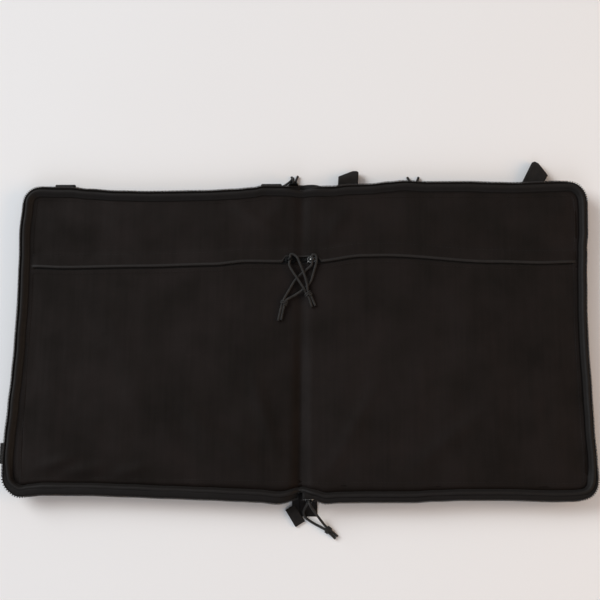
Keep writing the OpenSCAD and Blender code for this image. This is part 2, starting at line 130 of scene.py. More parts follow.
def surface(tree, shader, share, dark, light, uneven=None, rough=(), relief=None, strength=0, depth_mm=0):
    """Ends a finish: share mixes its two tones, uneven spreads its roughness, and relief lifts it."""
    tones = {0: share, 6: linear(dark), 7: linear(light)}
    ends = {"Base Color": add(tree, "Mix", tones, 2, data_type="RGBA")}
    if uneven is not None:
        ends["Roughness"] = add(tree, "MapRange", {"Value": uneven, "To Min": rough[0], "To Max": rough[1]})
    if relief is not None:
        heights = {"Height": relief, "Strength": strength, "Distance": depth_mm * MM}
        ends["Normal"] = add(tree, "Bump", heights)
    for socket, value in ends.items():
        tree.links.new(value, shader.inputs[socket])


print("black cloth is", [round(c, 4) for c in linear("#221e1e")[:3]])

# %% [markdown]
# ## Floor and light
# The case lies on a plain pale table near a window: broad light from the upper left, a weak warm bounce from
# the right, and a faint fill from the room. Three area lamps and an even world do the same. The floor is a
# stage, not part of the object.

# %% Light
def lamp(name, place, size, watts, colour):
    """A square area lamp that points at the middle of the case; its place and size are in metres."""
    light = bpy.data.lights.new(name, "AREA")
    light.size = size
    light.energy = watts
    light.color = linear(colour)[:3]
    obj = bpy.data.objects.new(name, light)
    obj.location = place
    obj.rotation_euler = (-Vector(place)).to_track_quat("-Z", "Y").to_euler()
    scene.collection.objects.link(obj)


lamp("window", (-4.8, 2.7, 3.7), 3.8, 360, "#f8fcff")
lamp("warm_bounce", (2.4, -0.3, 1.4), 1.6, 25, "#ffc98c")
lamp("room_fill", (-0.3, -3.4, 2.4), 2.6, 27, "#eef3ff")
scene.world = bpy.data.worlds.new("studio")
scene.world.use_nodes = True
sky = scene.world.node_tree.nodes["Background"].inputs
sky["Color"].default_value = linear("#e9eef5")
sky["Strength"].default_value = 0.42
print("3 lamps and a world")

# %% Floor
def to_mesh(bm, name):
    """Turns a bmesh into a mesh and frees it."""
    mesh = bpy.data.meshes.new(name)
    bm.to_mesh(mesh)
    bm.free()
    return mesh


# Matt paint on a table top: an even white without a shine, only faintly blotched
paper, tree, shader = new_material("matt_white_table", Roughness=0.85)
place = add(tree, "TexCoord", out="Object")
blotch = add(tree, "TexNoise", {"Vector": place, "Scale": 1 / (400 * MM), "Detail": 2})
surface(tree, shader, blotch, "#ebe9e8", "#eeedec")
FLOOR_HALF_M = 6
bm = bmesh.new()
bmesh.ops.create_grid(bm, x_segments=2, y_segments=2, size=FLOOR_HALF_M)
floor = bpy.data.objects.new("floor", to_mesh(bm, "floor"))
floor.data.materials.append(paper)
scene.collection.objects.link(floor)
print("floor", 2 * FLOOR_HALF_M, "m wide")

# %% [markdown]
# ## Cloth finishes
# The leaves are plain-woven nylon pack cloth: a dull black with a slight sheen, and long threads that differ
# in lustre. A photograph of cloth could be laid on, but nodes stay sharp and follow real sizes. The weave
# itself is about 0.5 mm, too fine for the picture, so it is drawn at 1.2 mm. The same recipe, with other
# threads, gives the lining and the sewing thread.

# %% Woven cloth
SHEEN = {"Sheen_Weight": 0.02, "Sheen_Roughness": 0.5}
STREAK_MM = 4, 90, 30
PATCH_MM = 55


def bands(period_mm):
    """The Wave texture's scale for a band every period_mm: its bands repeat at 2 pi / 20 of a unit."""
    return math.tau / 20 / (period_mm * MM)


def woven(name, dark, light, thread_mm=1.2, roughness=0.7):
    """Plain weave: crossed threads in relief, and streaks of lustre along the warp."""
    material, tree, shader = new_material(name, **SHEEN, Specular_IOR_Level=0.097)
    place = add(tree, "TexCoord", out="Object")
    warp, weft = (add(tree, "TexWave", {"Vector": place, "Scale": bands(thread_mm)}, 1, bands_direction=way)
                  for way in "XY")
    weave = add(tree, "Math", {0: warp, 1: weft}, operation="ADD")
    drawn_out = add(tree, "Mapping", {"Vector": place, "Scale": [1 / (mm * MM) for mm in STREAK_MM]})
    streaks = add(tree, "TexNoise", {"Vector": drawn_out, "Scale": 1, "Detail": 4, "Roughness": 0.6})
    patches = add(tree, "TexNoise", {"Vector": place, "Scale": 1 / (PATCH_MM * MM), "Detail": 3})
    lustre = add(tree, "Math", {0: streaks, 1: 0.4, 2: patches}, operation="MULTIPLY_ADD")
    share = add(tree, "MapRange", {"Value": lustre, "From Min": 0.45, "From Max": 0.95})
    surface(tree, shader, share, dark, light, share, (roughness + 0.08, roughness - 0.08), weave, 0.35, 0.15)
    return material


# Dull black, with a faint lustre along the threads
pack_cloth = woven("woven_nylon_pack_cloth", "#120e0b", "#1c1614")
# Closer woven and smoother, so it shines a little
taffeta = woven("nylon_taffeta_lining", "#141212", "#1b1919", thread_mm=0.8, roughness=0.5)
# Twisted and waxed, so it stands out as a row of greyer dashes
thread = woven("bonded_nylon_thread", "#1b1817", "#2a2624", thread_mm=0.7)
print(pack_cloth.name, taffeta.name, thread.name)

# %% [markdown]
# Tapes, straps and cords are narrow weaves whose ribs follow the strip. Their pattern reads the piece's own
# UV map, which is laid out in metres: U runs along the strip and V across it. Object coordinates would let
# the ribs run straight on where the strip bends. The ribs are drawn coarser than they are, so that they show.

# %% Narrow weaves
FUZZ_MM = 6


def ribbed(name, dark, light, rib_mm, slant=0, depth_mm=0.15, shine=0.12):
    """A narrow weave with ribs across it; slant turns the ribs into a twill or a braid."""
    material, tree, shader = new_material(name, **SHEEN, Specular_IOR_Level=shine)
    place = add(tree, "UVMap")
    ribs = []
    for turn in (-slant, slant):
        turned = add(tree, "Mapping", {"Vector": place, "Rotation": (0, 0, math.radians(turn))})
        ribs.append(add(tree, "TexWave", {"Vector": turned, "Scale": bands(rib_mm)}, 1))
    height = add(tree, "Math", {0: ribs[0], 1: ribs[1]}, operation="MAXIMUM")
    fuzz = add(tree, "TexNoise", {"Vector": place, "Scale": 1 / (FUZZ_MM * MM), "Detail": 3})
    share = add(tree, "Math", {0: height, 1: fuzz}, operation="MULTIPLY")
    surface(tree, shader, share, dark, light, fuzz, (0.7, 0.5), height, 0.5, depth_mm)
    return material


# Cross-ribbed tape, a black with a soft gloss along the piping
grosgrain = ribbed("grosgrain_binding", "#13100e", "#1d1917", 1.3, shine=0.17)
# Paler than the panel: a strip whose lighter tone paints the highlight along the flap's rolled edge
flap_highlight_tape = ribbed("painted_highlight_tape", "#1a1715", "#292522", 0.9, shine=0.18)
# Dense and flat, nearly without light
zip_twill = ribbed("zip_tape_twill", "#110f0e", "#1c1918", 1.1, slant=40)
# Thick yarns in a herringbone that can be seen
webbing = ribbed("nylon_webbing", "#171514", "#2a2725", 1.6, slant=55, depth_mm=0.3)
# Round and crossed, with a grey glint on each thread
braid = ribbed("braided_cord", "#1a1918", "#403e3c", 1.5, slant=45, depth_mm=0.2)
print(grosgrain.name, flap_highlight_tape.name, zip_twill.name, webbing.name, braid.name)

# %% [markdown]
# ## Hard finishes
# The coil of a zip is drawn nylon, smooth and a little shiny. The sliders are die-cast and painted black; the
# paint has rubbed off their edges, where bare zinc shows. A mask could be painted, but the pointiness of the
# mesh finds those edges by itself. The foam and board inside have fine cells.

# %% Drawn nylon
def drawn_nylon(name, dark, light, shine):
    """Smooth drawn nylon, a little uneven in tone and gloss."""
    material, tree, shader = new_material(name, Specular_IOR_Level=shine)
    place = add(tree, "TexCoord", out="Object")
    grain = add(tree, "TexNoise", {"Vector": place, "Scale": 1 / (2 * MM), "Detail": 2})
    surface(tree, shader, grain, dark, light, grain, (0.42, 0.58))
    return material


# Black and smooth
coil_nylon = drawn_nylon("drawn_nylon_coil", "#0d0d0c", "#161514", 0.15)
# Greyer than the pocket's coil: painted light that lifts the shade between the teeth and the piping, with
# small glints
lit_coil_nylon = drawn_nylon("lightened_nylon_coil", "#1e1b1a", "#2d2927", 0.2)
print(coil_nylon.name, lit_coil_nylon.name)

# %% Painted zinc
def painted(name, onset, coat, shine):
    """Black paint on zinc; the higher the onset, the less of it has rubbed off the edges."""
    material, tree, shader = new_material(name, Specular_IOR_Level=shine)
    place = add(tree, "TexCoord", out="Object")
    edge = add(tree, "NewGeometry", out="Pointiness")
    scuffs = add(tree, "TexNoise", {"Vector": place, "Scale": 1 / (1.5 * MM), "Detail": 3})
    worn = add(tree, "Math", {0: edge, 1: scuffs}, operation="MULTIPLY")
    bare = add(tree, "MapRange", {"Value": worn, "From Min": onset, "From Max": onset + 0.06})
    surface(tree, shader, bare, coat, "#b9b8b4", scuffs, (0.35, 0.5))
    tree.links.new(bare, shader.inputs["Metallic"])
    return material


# Bright grey edges on a black casting
rubbed_zinc = painted("rubbed_black_zinc", 0.30, "#141415", 0.25)
# A whole coat, so it stays dark
black_zinc = painted("black_painted_zinc", 0.42, "#0b0b0b", 0.08)
print(rubbed_zinc.name, black_zinc.name)

# %% Foam and board
def cellular(name, dark, light, cell_mm):
    """Foam or board: fine cells in relief."""
    material, tree, shader = new_material(name, Roughness=0.8)
    place = add(tree, "TexCoord", out="Object")
    cells = add(tree, "TexVoronoi", {"Vector": place, "Scale": 1 / (cell_mm * MM)})
    surface(tree, shader, cells, light, dark, relief=cells, strength=0.3, depth_mm=0.2)
    return material


# Closed cells that leave a matt dark grey
foam = cellular("polyethylene_foam", "#2c2c2e", "#424245", 1.5)
# Pressed sheet with a faint pebble
board = cellular("polyethylene_board", "#232323", "#303030", 3)
print(foam.name, board.name)

# %% [markdown]
# ## Mesh helpers
# Almost every soft part here is a strip or a tube. A curve object with a bevel could sweep them, but `loft`
# makes both and keeps the real lengths: it starts from a grid, lays each row of the grid on a ring of points,
# and writes the UV map from the distances. `piece` puts a mesh in the scene, gives it its finish, hangs it
# on a body when given one body's name, and hides the CAD nodes it stands for.

# %% Lofts and pieces
def travelled(points):
    """Distance along a row of points, at each point."""
    total = [0.0]
    for a, b in zip(points, points[1:]):
        total.append(total[-1] + (b - a).length)
    return total


def loft(name, rings, closed=False):
    """A mesh through rings of points in millimetres; a closed ring makes a tube with filled ends."""
    rows = [[Vector(p) * MM for p in ring] for ring in rings]
    rows = [row + row[:1] for row in rows] if closed else rows
    along = travelled([row[0] for row in rows])
    across = travelled(rows[len(rows) // 2])
    bm = bmesh.new()
    uv_map = bm.loops.layers.uv.new("UVMap")
    bmesh.ops.create_grid(bm, x_segments=len(rows) - 1, y_segments=len(across) - 1, size=1)
    spot = {}
    for k, vert in enumerate(sorted(bm.verts, key=lambda v: (round(v.co.x, 5), round(v.co.y, 5)))):
        i, j = divmod(k, len(across))
        vert.co = rows[i][j]
        spot[vert] = along[i], across[j]
    for face in bm.faces:
        face.smooth = True
        for corner in face.loops:
            corner[uv_map].uv = spot[corner.vert]
    bmesh.ops.remove_doubles(bm, verts=bm.verts, dist=1e-7)
    if closed:
        bmesh.ops.holes_fill(bm, edges=[e for e in bm.edges if e.is_boundary], sides=0)
        bmesh.ops.recalc_face_normals(bm, faces=bm.faces)
    return to_mesh(bm, name)


def piece(mesh, finish, slot, body, *nodes, thick_mm=0, offset=-1):
    """Shows a mesh on the CAD body named by body; the four values of a blend between two bodies are not used.
    """
    obj = bpy.data.objects.new(mesh.name, mesh)
    scene.collection.objects.link(obj)
    mesh.materials.append(finish)
    if isinstance(body, str):
        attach(obj, body)
    else:
        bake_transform(obj)
    if nodes:
        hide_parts(*nodes)
    if thick_mm:
        cloth = obj.modifiers.new("cloth", "SOLIDIFY")
        cloth.thickness = thick_mm * MM
        cloth.offset = offset
    return obj


print("loft and piece are ready")

# %% Names, places and curves
SIDES = "left", "right"


def both(*names):
    """The left and the right leaf's nodes of these names."""
    return [f"{side}_{name}" for name in names for side in SIDES]


def box_mm(node):
    """The lowest and the highest corner of a CAD node, in millimetres."""
    return [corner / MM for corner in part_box(node)]


def hinge(joint):
    """The place of a CAD joint, in metres."""
    return next(j["pos_m"] for j in frame["joints"] if j["name"] == joint)


def spread(low, high, step):
    """Evenly spaced numbers from low to high, about a step apart."""
    count = max(1, round(abs(high - low) / step))
    return [low + (high - low) * i / count for i in range(count + 1)]


def through(points, x):
    """A smooth curve through (x, value) points that are sorted by x."""
    if x <= points[0][0]:
        return points[0][1]
    for (x0, y0), (x1, y1) in zip(points, points[1:]):
        if x <= x1:
            t = (x - x0) / (x1 - x0)
            return y0 + (y1 - y0) * t * t * (3 - 2 * t)
    return points[-1][1]


def curve(points, steps=6):
    """A smooth curve through points, as a list of points."""
    p = [Vector(q) for q in points]
    p = [2 * p[0] - p[1], *p, 2 * p[-1] - p[-2]]
    path = [p[1]]
    for a, b, c, d in zip(p, p[1:], p[2:], p[3:]):
        path += geometry.interpolate_bezier(b, b + (c - a) / 6, c - (d - b) / 6, c, steps + 1)[1:]
    return path


print("spine folds at", [round(c / MM, 1) for c in hinge("spine_fold")], "mm")

# %% [markdown]
# ## Pull cords
# Each zip pull is one limp braided cord, passed through the slider's bridge and tied to itself, so two
# strands run from the bridge to the knot and end in cut tails. The routes repeat the CAD part's own points.
# A braid is not a smooth tube, and a bump would leave its outline smooth, so the radius itself ripples.

# %% Routes of the cords
STRANDS = {
    "left_pocket": (
        [(-14, 96, 19.9), (-15, 89, 20), (-11, 81, 21), (-5, 72, 21), (3, 59.5, 21), (5, 55.1, 19.4),
         (9.2, 48.3, 19.4), (13, 37, 17.8)],
        [(-14, 96, 19.9), (-13, 102.5, 20.2), (-6, 99, 20.6), (-1, 88, 21), (4, 75, 21), (7, 64, 21),
         (7.8, 56.7, 19.4), (12, 49.9, 19.4), (17, 38.5, 17.8)]),
    "right_pocket": (
        [(13, 96, 19.9), (12, 89, 19.8), (6, 83.5, 17.8), (-1, 77.5, 17.8), (-8, 70, 17.8), (-15, 58, 17.9),
         (-21.1, 46.4, 19.4), (-23.9, 38.8, 19.4), (-28, 20, 17.8)],
        [(13, 96, 19.9), (13.4, 101.5, 20.1), (17.6, 100.5, 20.1), (18.2, 93, 19.9), (16.4, 86, 18.6),
         (14, 77, 17.8), (10.4, 67.5, 17.8), (2, 58.7, 17.8), (-9, 51, 17.9), (-18.1, 45.2, 19.4),
         (-20.9, 37.6, 19.4), (-24.5, 21, 17.8)]),
    "bottom_main": (
        [(10.5, -194.8, 23), (10.5, -195, 26.5), (12.5, -199.5, 30), (16, -205, 24), (19.5, -210, 15),
         (24, -216, 7), (30.9, -224.3, 3.4), (37.1, -229.3, 3.4), (44, -235, 1.8)],
        [(10.5, -194.8, 23), (10.5, -194.9, 18), (7.5, -199, 10), (4, -206, 4), (6, -213, 3.4),
         (15, -219.5, 2.4), (28.9, -226.7, 3.4), (35.1, -231.7, 3.4), (41.5, -237.5, 1.8)]),
    "top_main": (
        [(-10.5, 191.8, 23), (-10.5, 192.2, 25.8), (-10.6, 194.6, 27.2), (-11.2, 197.2, 25),
         (-12.2, 198.6, 19), (-13.4, 198.6, 12), (-15.6, 198, 7), (-20, 195.6, 4.4), (-27, 190.5, 3.6),
         (-31, 183, 1.8), (-29.5, 174, 1.8), (-23.5, 170.5, 1.8), (-16.5, 176, 1.8), (-13.2, 182, 1.9),
         (-9, 187, 2.6), (-8.4, 191.5, 3.4), (-8.4, 199, 3.4), (-6, 207, 1.8)],
        [(-10.5, 191.8, 23), (-10.6, 192.2, 18), (-11.8, 194, 12), (-15, 194, 7), (-21.5, 190, 2.6),
         (-25.5, 182, 1.8), (-22, 176.5, 1.8), (-19.5, 180, 1.8), (-16.5, 184.5, 1.9), (-12.3, 188, 2.8),
         (-11.6, 191.5, 3.4), (-11.6, 199, 3.4), (-14, 206, 1.8)]),
    "right_outer": (
        [(138, 118, 2.9), (130.5, 118.5, 2.9), (128.5, 128, 3.2), (131.5, 146, 3.6), (135, 166, 3.6),
         (136.4, 182, 3.9), (136.4, 190, 3.9), (131, 205, 1.8)],
        [(138, 118, 2.9), (145.5, 118.5, 2.9), (147.5, 128, 3.2), (144.5, 146, 3.6), (141, 166, 3.6),
         (139.6, 182, 3.9), (139.6, 190, 3.9), (145, 205, 1.8)]),
}
# Middle of each knot, and the way its two strands run through it in degrees
KNOTS = {
    "left_pocket": ((8.5, 52.5, 19.4), -58), "right_pocket": ((-21, 42, 19.4), -110),
    "bottom_main": ((33, -228, 3.4), -39), "top_main": ((-10, 195, 3.4), 90),
    "right_outer": ((138, 186, 3.9), 90),
}
print(len(STRANDS), "pulls")

# %% Braid and knot
CORD_D, KNOT_CORD_D = 3.1, 2.1
CORD_SIDES = 12
BRAID_PERIOD = 6.4
KNOT_TURNS, KNOT_STEPS = 2.25, 54
KNOT_REACH, KNOT_HALF_W, KNOT_HALF_H = 2.3, 3.7, 2.15


def braided(path, width):
    """A cord's rings along a path, carried on untwisted and rippled like a braid."""
    ahead = path[1] - path[0]
    side = ahead.orthogonal().normalized()
    rings = []
    for i, (point, far) in enumerate(zip(path, travelled(path))):
        onward = path[min(i + 1, len(path) - 1)] - path[max(i - 1, 0)]
        side = ahead.rotation_difference(onward) @ side
        ahead = onward
        up = ahead.cross(side).normalized()
        twist = math.tau * far / BRAID_PERIOD
        ring = []
        for a in spread(0, math.tau * (1 - 1 / CORD_SIDES), math.tau / CORD_SIDES):
            radius = width / 2 * (0.97 + 0.05 * math.cos(4 * a + twist) * math.cos(4 * a - twist))
            ring.append(point + side * (radius * math.cos(a)) + up * (radius * math.sin(a)))
        rings.append(ring)
    return rings


def knot_path(place, turn_deg):
    """The cord's wrap around its own two strands, which climbs along them."""
    to_knot = Matrix.Translation(place) @ Matrix.Rotation(math.radians(turn_deg), 4, "Z")
    path = []
    for i in range(KNOT_STEPS + 1):
        a = math.tau * KNOT_TURNS * i / KNOT_STEPS
        path.append(to_knot @ Vector((KNOT_REACH * (2 * i / KNOT_STEPS - 1), KNOT_HALF_W * math.cos(a),
                                      KNOT_HALF_H * math.sin(a))))
    return path


print("a knot takes", round(travelled(knot_path((0, 0, 0), 0))[-1]), "mm of cord")

# %% Pulls
def pull(name):
    """The two strands and the knot of one pull, on its slider's body."""
    body = name + "_slider"
    knot = loft(name + "_knot_wrap", braided(knot_path(*KNOTS[name]), KNOT_CORD_D), closed=True)
    knot = piece(knot, braid, "cord", body, name + "_knot")
    strands = []
    for letter, points in zip("ab", STRANDS[name]):
        path = curve(points)
        strand = piece(loft(f"{name}_cord_{letter}", braided(path, CORD_D), closed=True), braid, "cord", body)
        strands.append(strand)
    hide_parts(name + "_pull")
    return strands + [knot]


cords = {name: pull(name) for name in STRANDS}

# %% [markdown]
# The two inner pulls lie across the spine; each of their pieces is given a mesh of its own.

# %% Pulls with meshes of their own
for name in both("pocket"):
    for strand in cords[name]:
        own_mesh(strand)
    print("squashed", len(cords[name]), "pieces of", name)

# %% [markdown]
# ## The lie of the cloth
# The panels inside the case are sewn along their edges and lie loose on the padding. Four things shape them:
# a low crown over the foam, a valley along the spine, soft tension folds, and small puckers beside the seams.
# A simulation could find such folds, but not these ones, so all of them are one height function, and the
# panels, their zip and the binding agree with each other.

# %% Sizes from the frame
low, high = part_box("right_edge_binding")
SPINE_HALF, LEAF_W, HALF_H = low.x / MM, high.x / MM, high.y / MM
CORNER_R = 14
Z_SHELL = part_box("right_outer_shell")[0].z / MM
Z_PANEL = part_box("right_pocket_panel")[1].z / MM
ZIP_LOW_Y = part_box("right_pocket_panel")[1].y / MM
ZIP_HIGH_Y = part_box("right_header_panel")[0].y / MM
ZIP_Y = (ZIP_LOW_Y + ZIP_HIGH_Y) / 2
Z_FOLD = hinge("spine_fold")[2]
FOLD = ("left_leaf", "right_leaf", (-SPINE_HALF * MM, 0, Z_FOLD), (SPINE_HALF * MM, 0, Z_FOLD))
SEAM_IN = 5
PANEL_EDGE_X, PANEL_EDGE_Y = LEAF_W - SEAM_IN, HALF_H - SEAM_IN
print("leaf", LEAF_W, "by", 2 * HALF_H, "mm, pocket zip at", ZIP_Y)

# %% Height of the panels and of the shell
CROWN_MM, CROWN_REACH = 2.2, 45
FLAT = (-70, 1), (15, 0.35), (110, 0.35), (150, 1)
VALLEY = (-182, 7.5), (-60, 6), (30, 2.4), (110, 2.0), (182, 3.2)
VALLEY_W = 7.5
SPINE_DROP = (0, 0.5), (SPINE_HALF - 5, 0.7), (SPINE_HALF + 3, Z_SHELL)
# Each layer of rumples: height, size in X, size in Y, and the level where the noise is cut
SOFT = (1.5, 60, 85, 3.1), (0.7, 21, 60, 8.7)
PUCKER, PUCKER_REACH, PUCKER_FROM = (1.6, 24, 24, 1.3), 14, 6
FOLD_FADE, FOLD_FROM = 0.08, 9
# Each fold's start, end, height and width
FOLDS = (
    ((-124, -100), (-34, -168), 2.4, 9), ((-150, -60), (-96, -150), 1.4, 11),
    ((-60, -40), (-26, -150), 2.0, 8), ((217, -88), (120, -168), 2.1, 10), ((90, -60), (36, -160), 1.7, 9),
    ((-86, 168), (-18, 118), 2.0, 8), ((60, 165), (26, 116), 1.4, 8), ((-250, 60), (-190, -90), 1.3, 16),
    ((180, 60), (240, -60), 1.2, 16), ((-312, -158), (-268, -146), 4.2, 7),
    ((-282, -163), (-233, -157), 4, 6), ((-219, -163), (-181, -157), 3.4, 6),
)


def rumple(x, y, *layers):
    """Sum of layers of smooth noise."""
    return sum(up * noise.noise((x / wide, y / long, level)) for up, wide, long, level in layers)


def ridge(x, y, start, end, height, width):
    """One soft fold along a line, which dies away at its ends."""
    a, b = Vector(start), Vector(end)
    t = max(0, min(1, (Vector((x, y)) - a).dot(b - a) / (b - a).length_squared))
    off = (Vector((x, y)) - a.lerp(b, t)).length
    fade = math.sin(math.pi * (FOLD_FADE + (1 - 2 * FOLD_FADE) * t))
    return height * math.exp(-(off / width) ** 2) * fade


def panel_z(x, y):
    """Height of the inner panels' upper face."""
    seam = max(0, min(PANEL_EDGE_X - abs(x), PANEL_EDGE_Y - abs(y)))
    inside = max(0, min(abs(x) - SPINE_HALF, seam))
    puff = through(((0, 0), (CROWN_REACH, 1)), inside) * through(FLAT, y)
    pucker = rumple(x, y, PUCKER) * math.exp(-seam / PUCKER_REACH) * min(1, inside / PUCKER_FROM)
    folds = sum(ridge(x, y, *fold) for fold in FOLDS) * min(1, inside / FOLD_FROM)
    z = Z_PANEL + puff * (CROWN_MM + rumple(x, y, *SOFT)) + pucker + folds
    return z - through(VALLEY, y) * math.exp(-(x / VALLEY_W) ** 2)


def shell_z(x):
    """Height of the outer shell's lower face, which drops to the table at the spine."""
    return through(SPINE_DROP, abs(x))


print("panel from", round(panel_z(0, -170), 1), "to", round(panel_z(-170, 0), 1), "mm above the table")

# %% [markdown]
# ## Inner pocket
# A long zip crosses both leaves. Below it is the pocket's panel. The header above it ends in a wide flap of
# double cloth that hides the zip, so only the flap's edge shows as a line. The line sags a little, and the
# flap stands back at the sliders, which push it aside. Each panel is one loft over both leaves, because the
# real cloth runs on across the spine.

# %% Lines of the zip and its flap
ZIP_SAG = ((-330, -5.5), (-295, -7), (-200, -5.6), (-110, -3.4), (-67, 0.4), (-18, 0), (18, 0.3), (75, 7),
           (100, 7.4), (235, -0.8), (290, -2.2), (330, -1))
FLAP_EDGE = (-24, -4), (-20, 3), (19, 3), (23, -4)
FLAP_SEAM_Y = ZIP_Y + 14.5
HEM_MM = 6
TAPE_UNDER = 0.9
panel_xs = spread(-PANEL_EDGE_X, -16, 4) + spread(-14.5, 14.5, 1.5) + spread(16, PANEL_EDGE_X, 4)


def zip_line(x):
    """Middle of the inner zip's tape at x."""
    y = ZIP_Y + through(ZIP_SAG, x)
    return Vector((x, y, panel_z(x, y) - TAPE_UNDER))


print("flap", round(FLAP_SEAM_Y - ZIP_Y - FLAP_EDGE[0][1], 1), "mm wide")

# %% Pocket panel
HEM_ROWS = ((HEM_MM + 1.5, 0), (HEM_MM, 0.15), (HEM_MM - 1, 0.3), (4, 0.35), (2, 0.4), (1, 0.35), (0.4, 0.1),
            (0, -0.5))
rows = [(y, 0) for y in spread(-PANEL_EDGE_Y, ZIP_LOW_Y - HEM_MM - 4, 4)]
rows += [(ZIP_LOW_Y - d, up) for d, up in HEM_ROWS]
rings = []
for x in panel_xs:
    ring = []
    for y, up in rows:
        y += through(ZIP_SAG, x) * ((y + PANEL_EDGE_Y) / (ZIP_LOW_Y + PANEL_EDGE_Y)) ** 2
        ring.append((x, y, panel_z(x, y) + up))
    rings.append(ring)
pocket_panel = piece(loft("pocket_panel", rings), pack_cloth, "shell_fabric", FOLD, *both("pocket_panel"),
                     thick_mm=0.9)
print(pocket_panel.name, len(pocket_panel.data.polygons), "faces")

# %% Header panel with the flap
FLAP_ROWS = ((1, 0.5), (0.985, 1.1), (0.95, 1.6), (0.9, 1.75), (0.84, 1.7), (0.7, 1.5), (0.5, 1.4),
             (0.3, 1.1), (0.12, 0.8), (0.05, 0.5), (0, 0))
FLAP_HIGHLIGHT_ROWS = (0.985, 1.25), (0.95, 1.78), (0.9, 1.95), (0.84, 1.9), (0.8, 1.7)
FLAP_TUCK = 9


def flap_point(x, share, up):
    """A point of the flap; share runs from its seam to its free edge, and the ends tuck under the binding."""
    edge = ZIP_Y + through(FLAP_EDGE, x)
    y = FLAP_SEAM_Y + share * (edge - FLAP_SEAM_Y) + through(ZIP_SAG, x)
    loose = min(1, (PANEL_EDGE_X - abs(x)) / FLAP_TUCK)
    return Vector((x, y, panel_z(x, y) + loose * up))


rings = []
for x in panel_xs:
    ring = [flap_point(x, *row) for row in FLAP_ROWS]
    for y in spread(FLAP_SEAM_Y + 3, PANEL_EDGE_Y, 4):
        y += through(ZIP_SAG, x) * ((PANEL_EDGE_Y - y) / (PANEL_EDGE_Y - FLAP_SEAM_Y))
        ring.append((x, y, panel_z(x, y)))
    rings.append(ring)
header_panel = piece(loft("header_panel", rings), pack_cloth, "shell_fabric", FOLD, *both("header_panel"),
                     thick_mm=0.8)
# A thin pale strip over the flap's edge, a painted highlight where the rolled edge catches the light
rings = [[flap_point(x, *row) for row in FLAP_HIGHLIGHT_ROWS] for x in panel_xs]
piece(loft("flap_painted_highlight", rings), flap_highlight_tape, "binding", FOLD, thick_mm=0.3)
print(header_panel.name, len(header_panel.data.polygons), "faces")

# %% [markdown]
# ## Coil zips
# A closed coil zip is two rows of small loops that mesh. A helix would be true but heavy. Each loop is one
# rounded tooth of a few faces instead, copied along the zip, so the teeth stay real geometry at a small cost.

# %% Zip teeth
def copies(name, size, spots, round_mm=0.25):
    """One small rounded block, copied to every spot."""
    bm = bmesh.new()
    bmesh.ops.create_cube(bm, size=MM, matrix=Matrix.Diagonal((*size, 1)))
    bmesh.ops.bevel(bm, geom=bm.edges[:], offset=round_mm * MM, offset_type="OFFSET", affect="EDGES",
                    segments=1, profile=0.5, material=-1)
    first = bm.verts[:]
    shape = first + bm.edges[:] + bm.faces[:]
    for spot in spots:
        made = bmesh.ops.duplicate(bm, geom=shape)["geom"]
        bmesh.ops.transform(bm, matrix=spot, verts=[g for g in made if isinstance(g, bmesh.types.BMVert)])
    bmesh.ops.delete(bm, geom=first, context="VERTS")
    for face in bm.faces:
        face.smooth = True
    return to_mesh(bm, name)


def standing(point, ahead, up=(0, 0, 1)):
    """The place of a copy: its X runs ahead and its Z points up."""
    x = Vector(ahead).normalized()
    y = Vector(up).cross(x).normalized()
    turn = Matrix((x, y, x.cross(y))).transposed().to_4x4()
    return Matrix.Translation(Vector(point) * MM) @ turn


TOOTH, TOOTH_PITCH, TOOTH_OFF = (0.95, 2.7, 1.5), 1.5, 0.9
TAPE_HALF = 8


def coil_zip(name, line, low, high, tape_xs, up, body, nodes):
    """A flat zip along line(x): its tape, and two rows of teeth on the side that up points to."""
    tape, coil = ([n for n in nodes if n.endswith(kind)] for kind in ("tape", "coil"))
    flat = [[line(x) + Vector((0, d, 0)) for d in spread(-TAPE_HALF, TAPE_HALF, 4)[::up]] for x in tape_xs]
    piece(loft(name + "_zip_tape_cloth", flat), zip_twill, "zip_tape", body, *tape, thick_mm=0.5)
    spots = []
    for row in (-1, 1):
        for x in spread(low + (1 + row) * TOOTH_PITCH / 4, high, TOOTH_PITCH):
            here = line(x)
            place = here + Vector((0, row * TOOTH_OFF, up * TOOTH[2] / 2))
            spots.append(standing(place, line(x + 1) - here, (0, 0, up)))
    piece(copies(name + "_zip_teeth", TOOTH, spots), coil_nylon, "zip_coil", body, *coil)
    print(name, len(spots), "teeth")


ZIP_END_X = LEAF_W - 11
coil_zip("pocket", zip_line, -ZIP_END_X, ZIP_END_X, panel_xs, 1, FOLD,
         both("pocket_zip_tape", "pocket_zip_coil"))

# %% [markdown]
# ## The bound edge
# `rim` walks along the edge of one leaf, from the top of the spine round to its lower end, and gives a point
# and the direction outward. A sewn edge is never quite straight, so `SWAY` moves it in and out. The binding
# is a folded tape: a flat hem on the panel, a fat piped fold outside, and a wall down to the shell. A curve
# with a bevel has one section all the way, but this one changes, so each ring is worked out by itself.

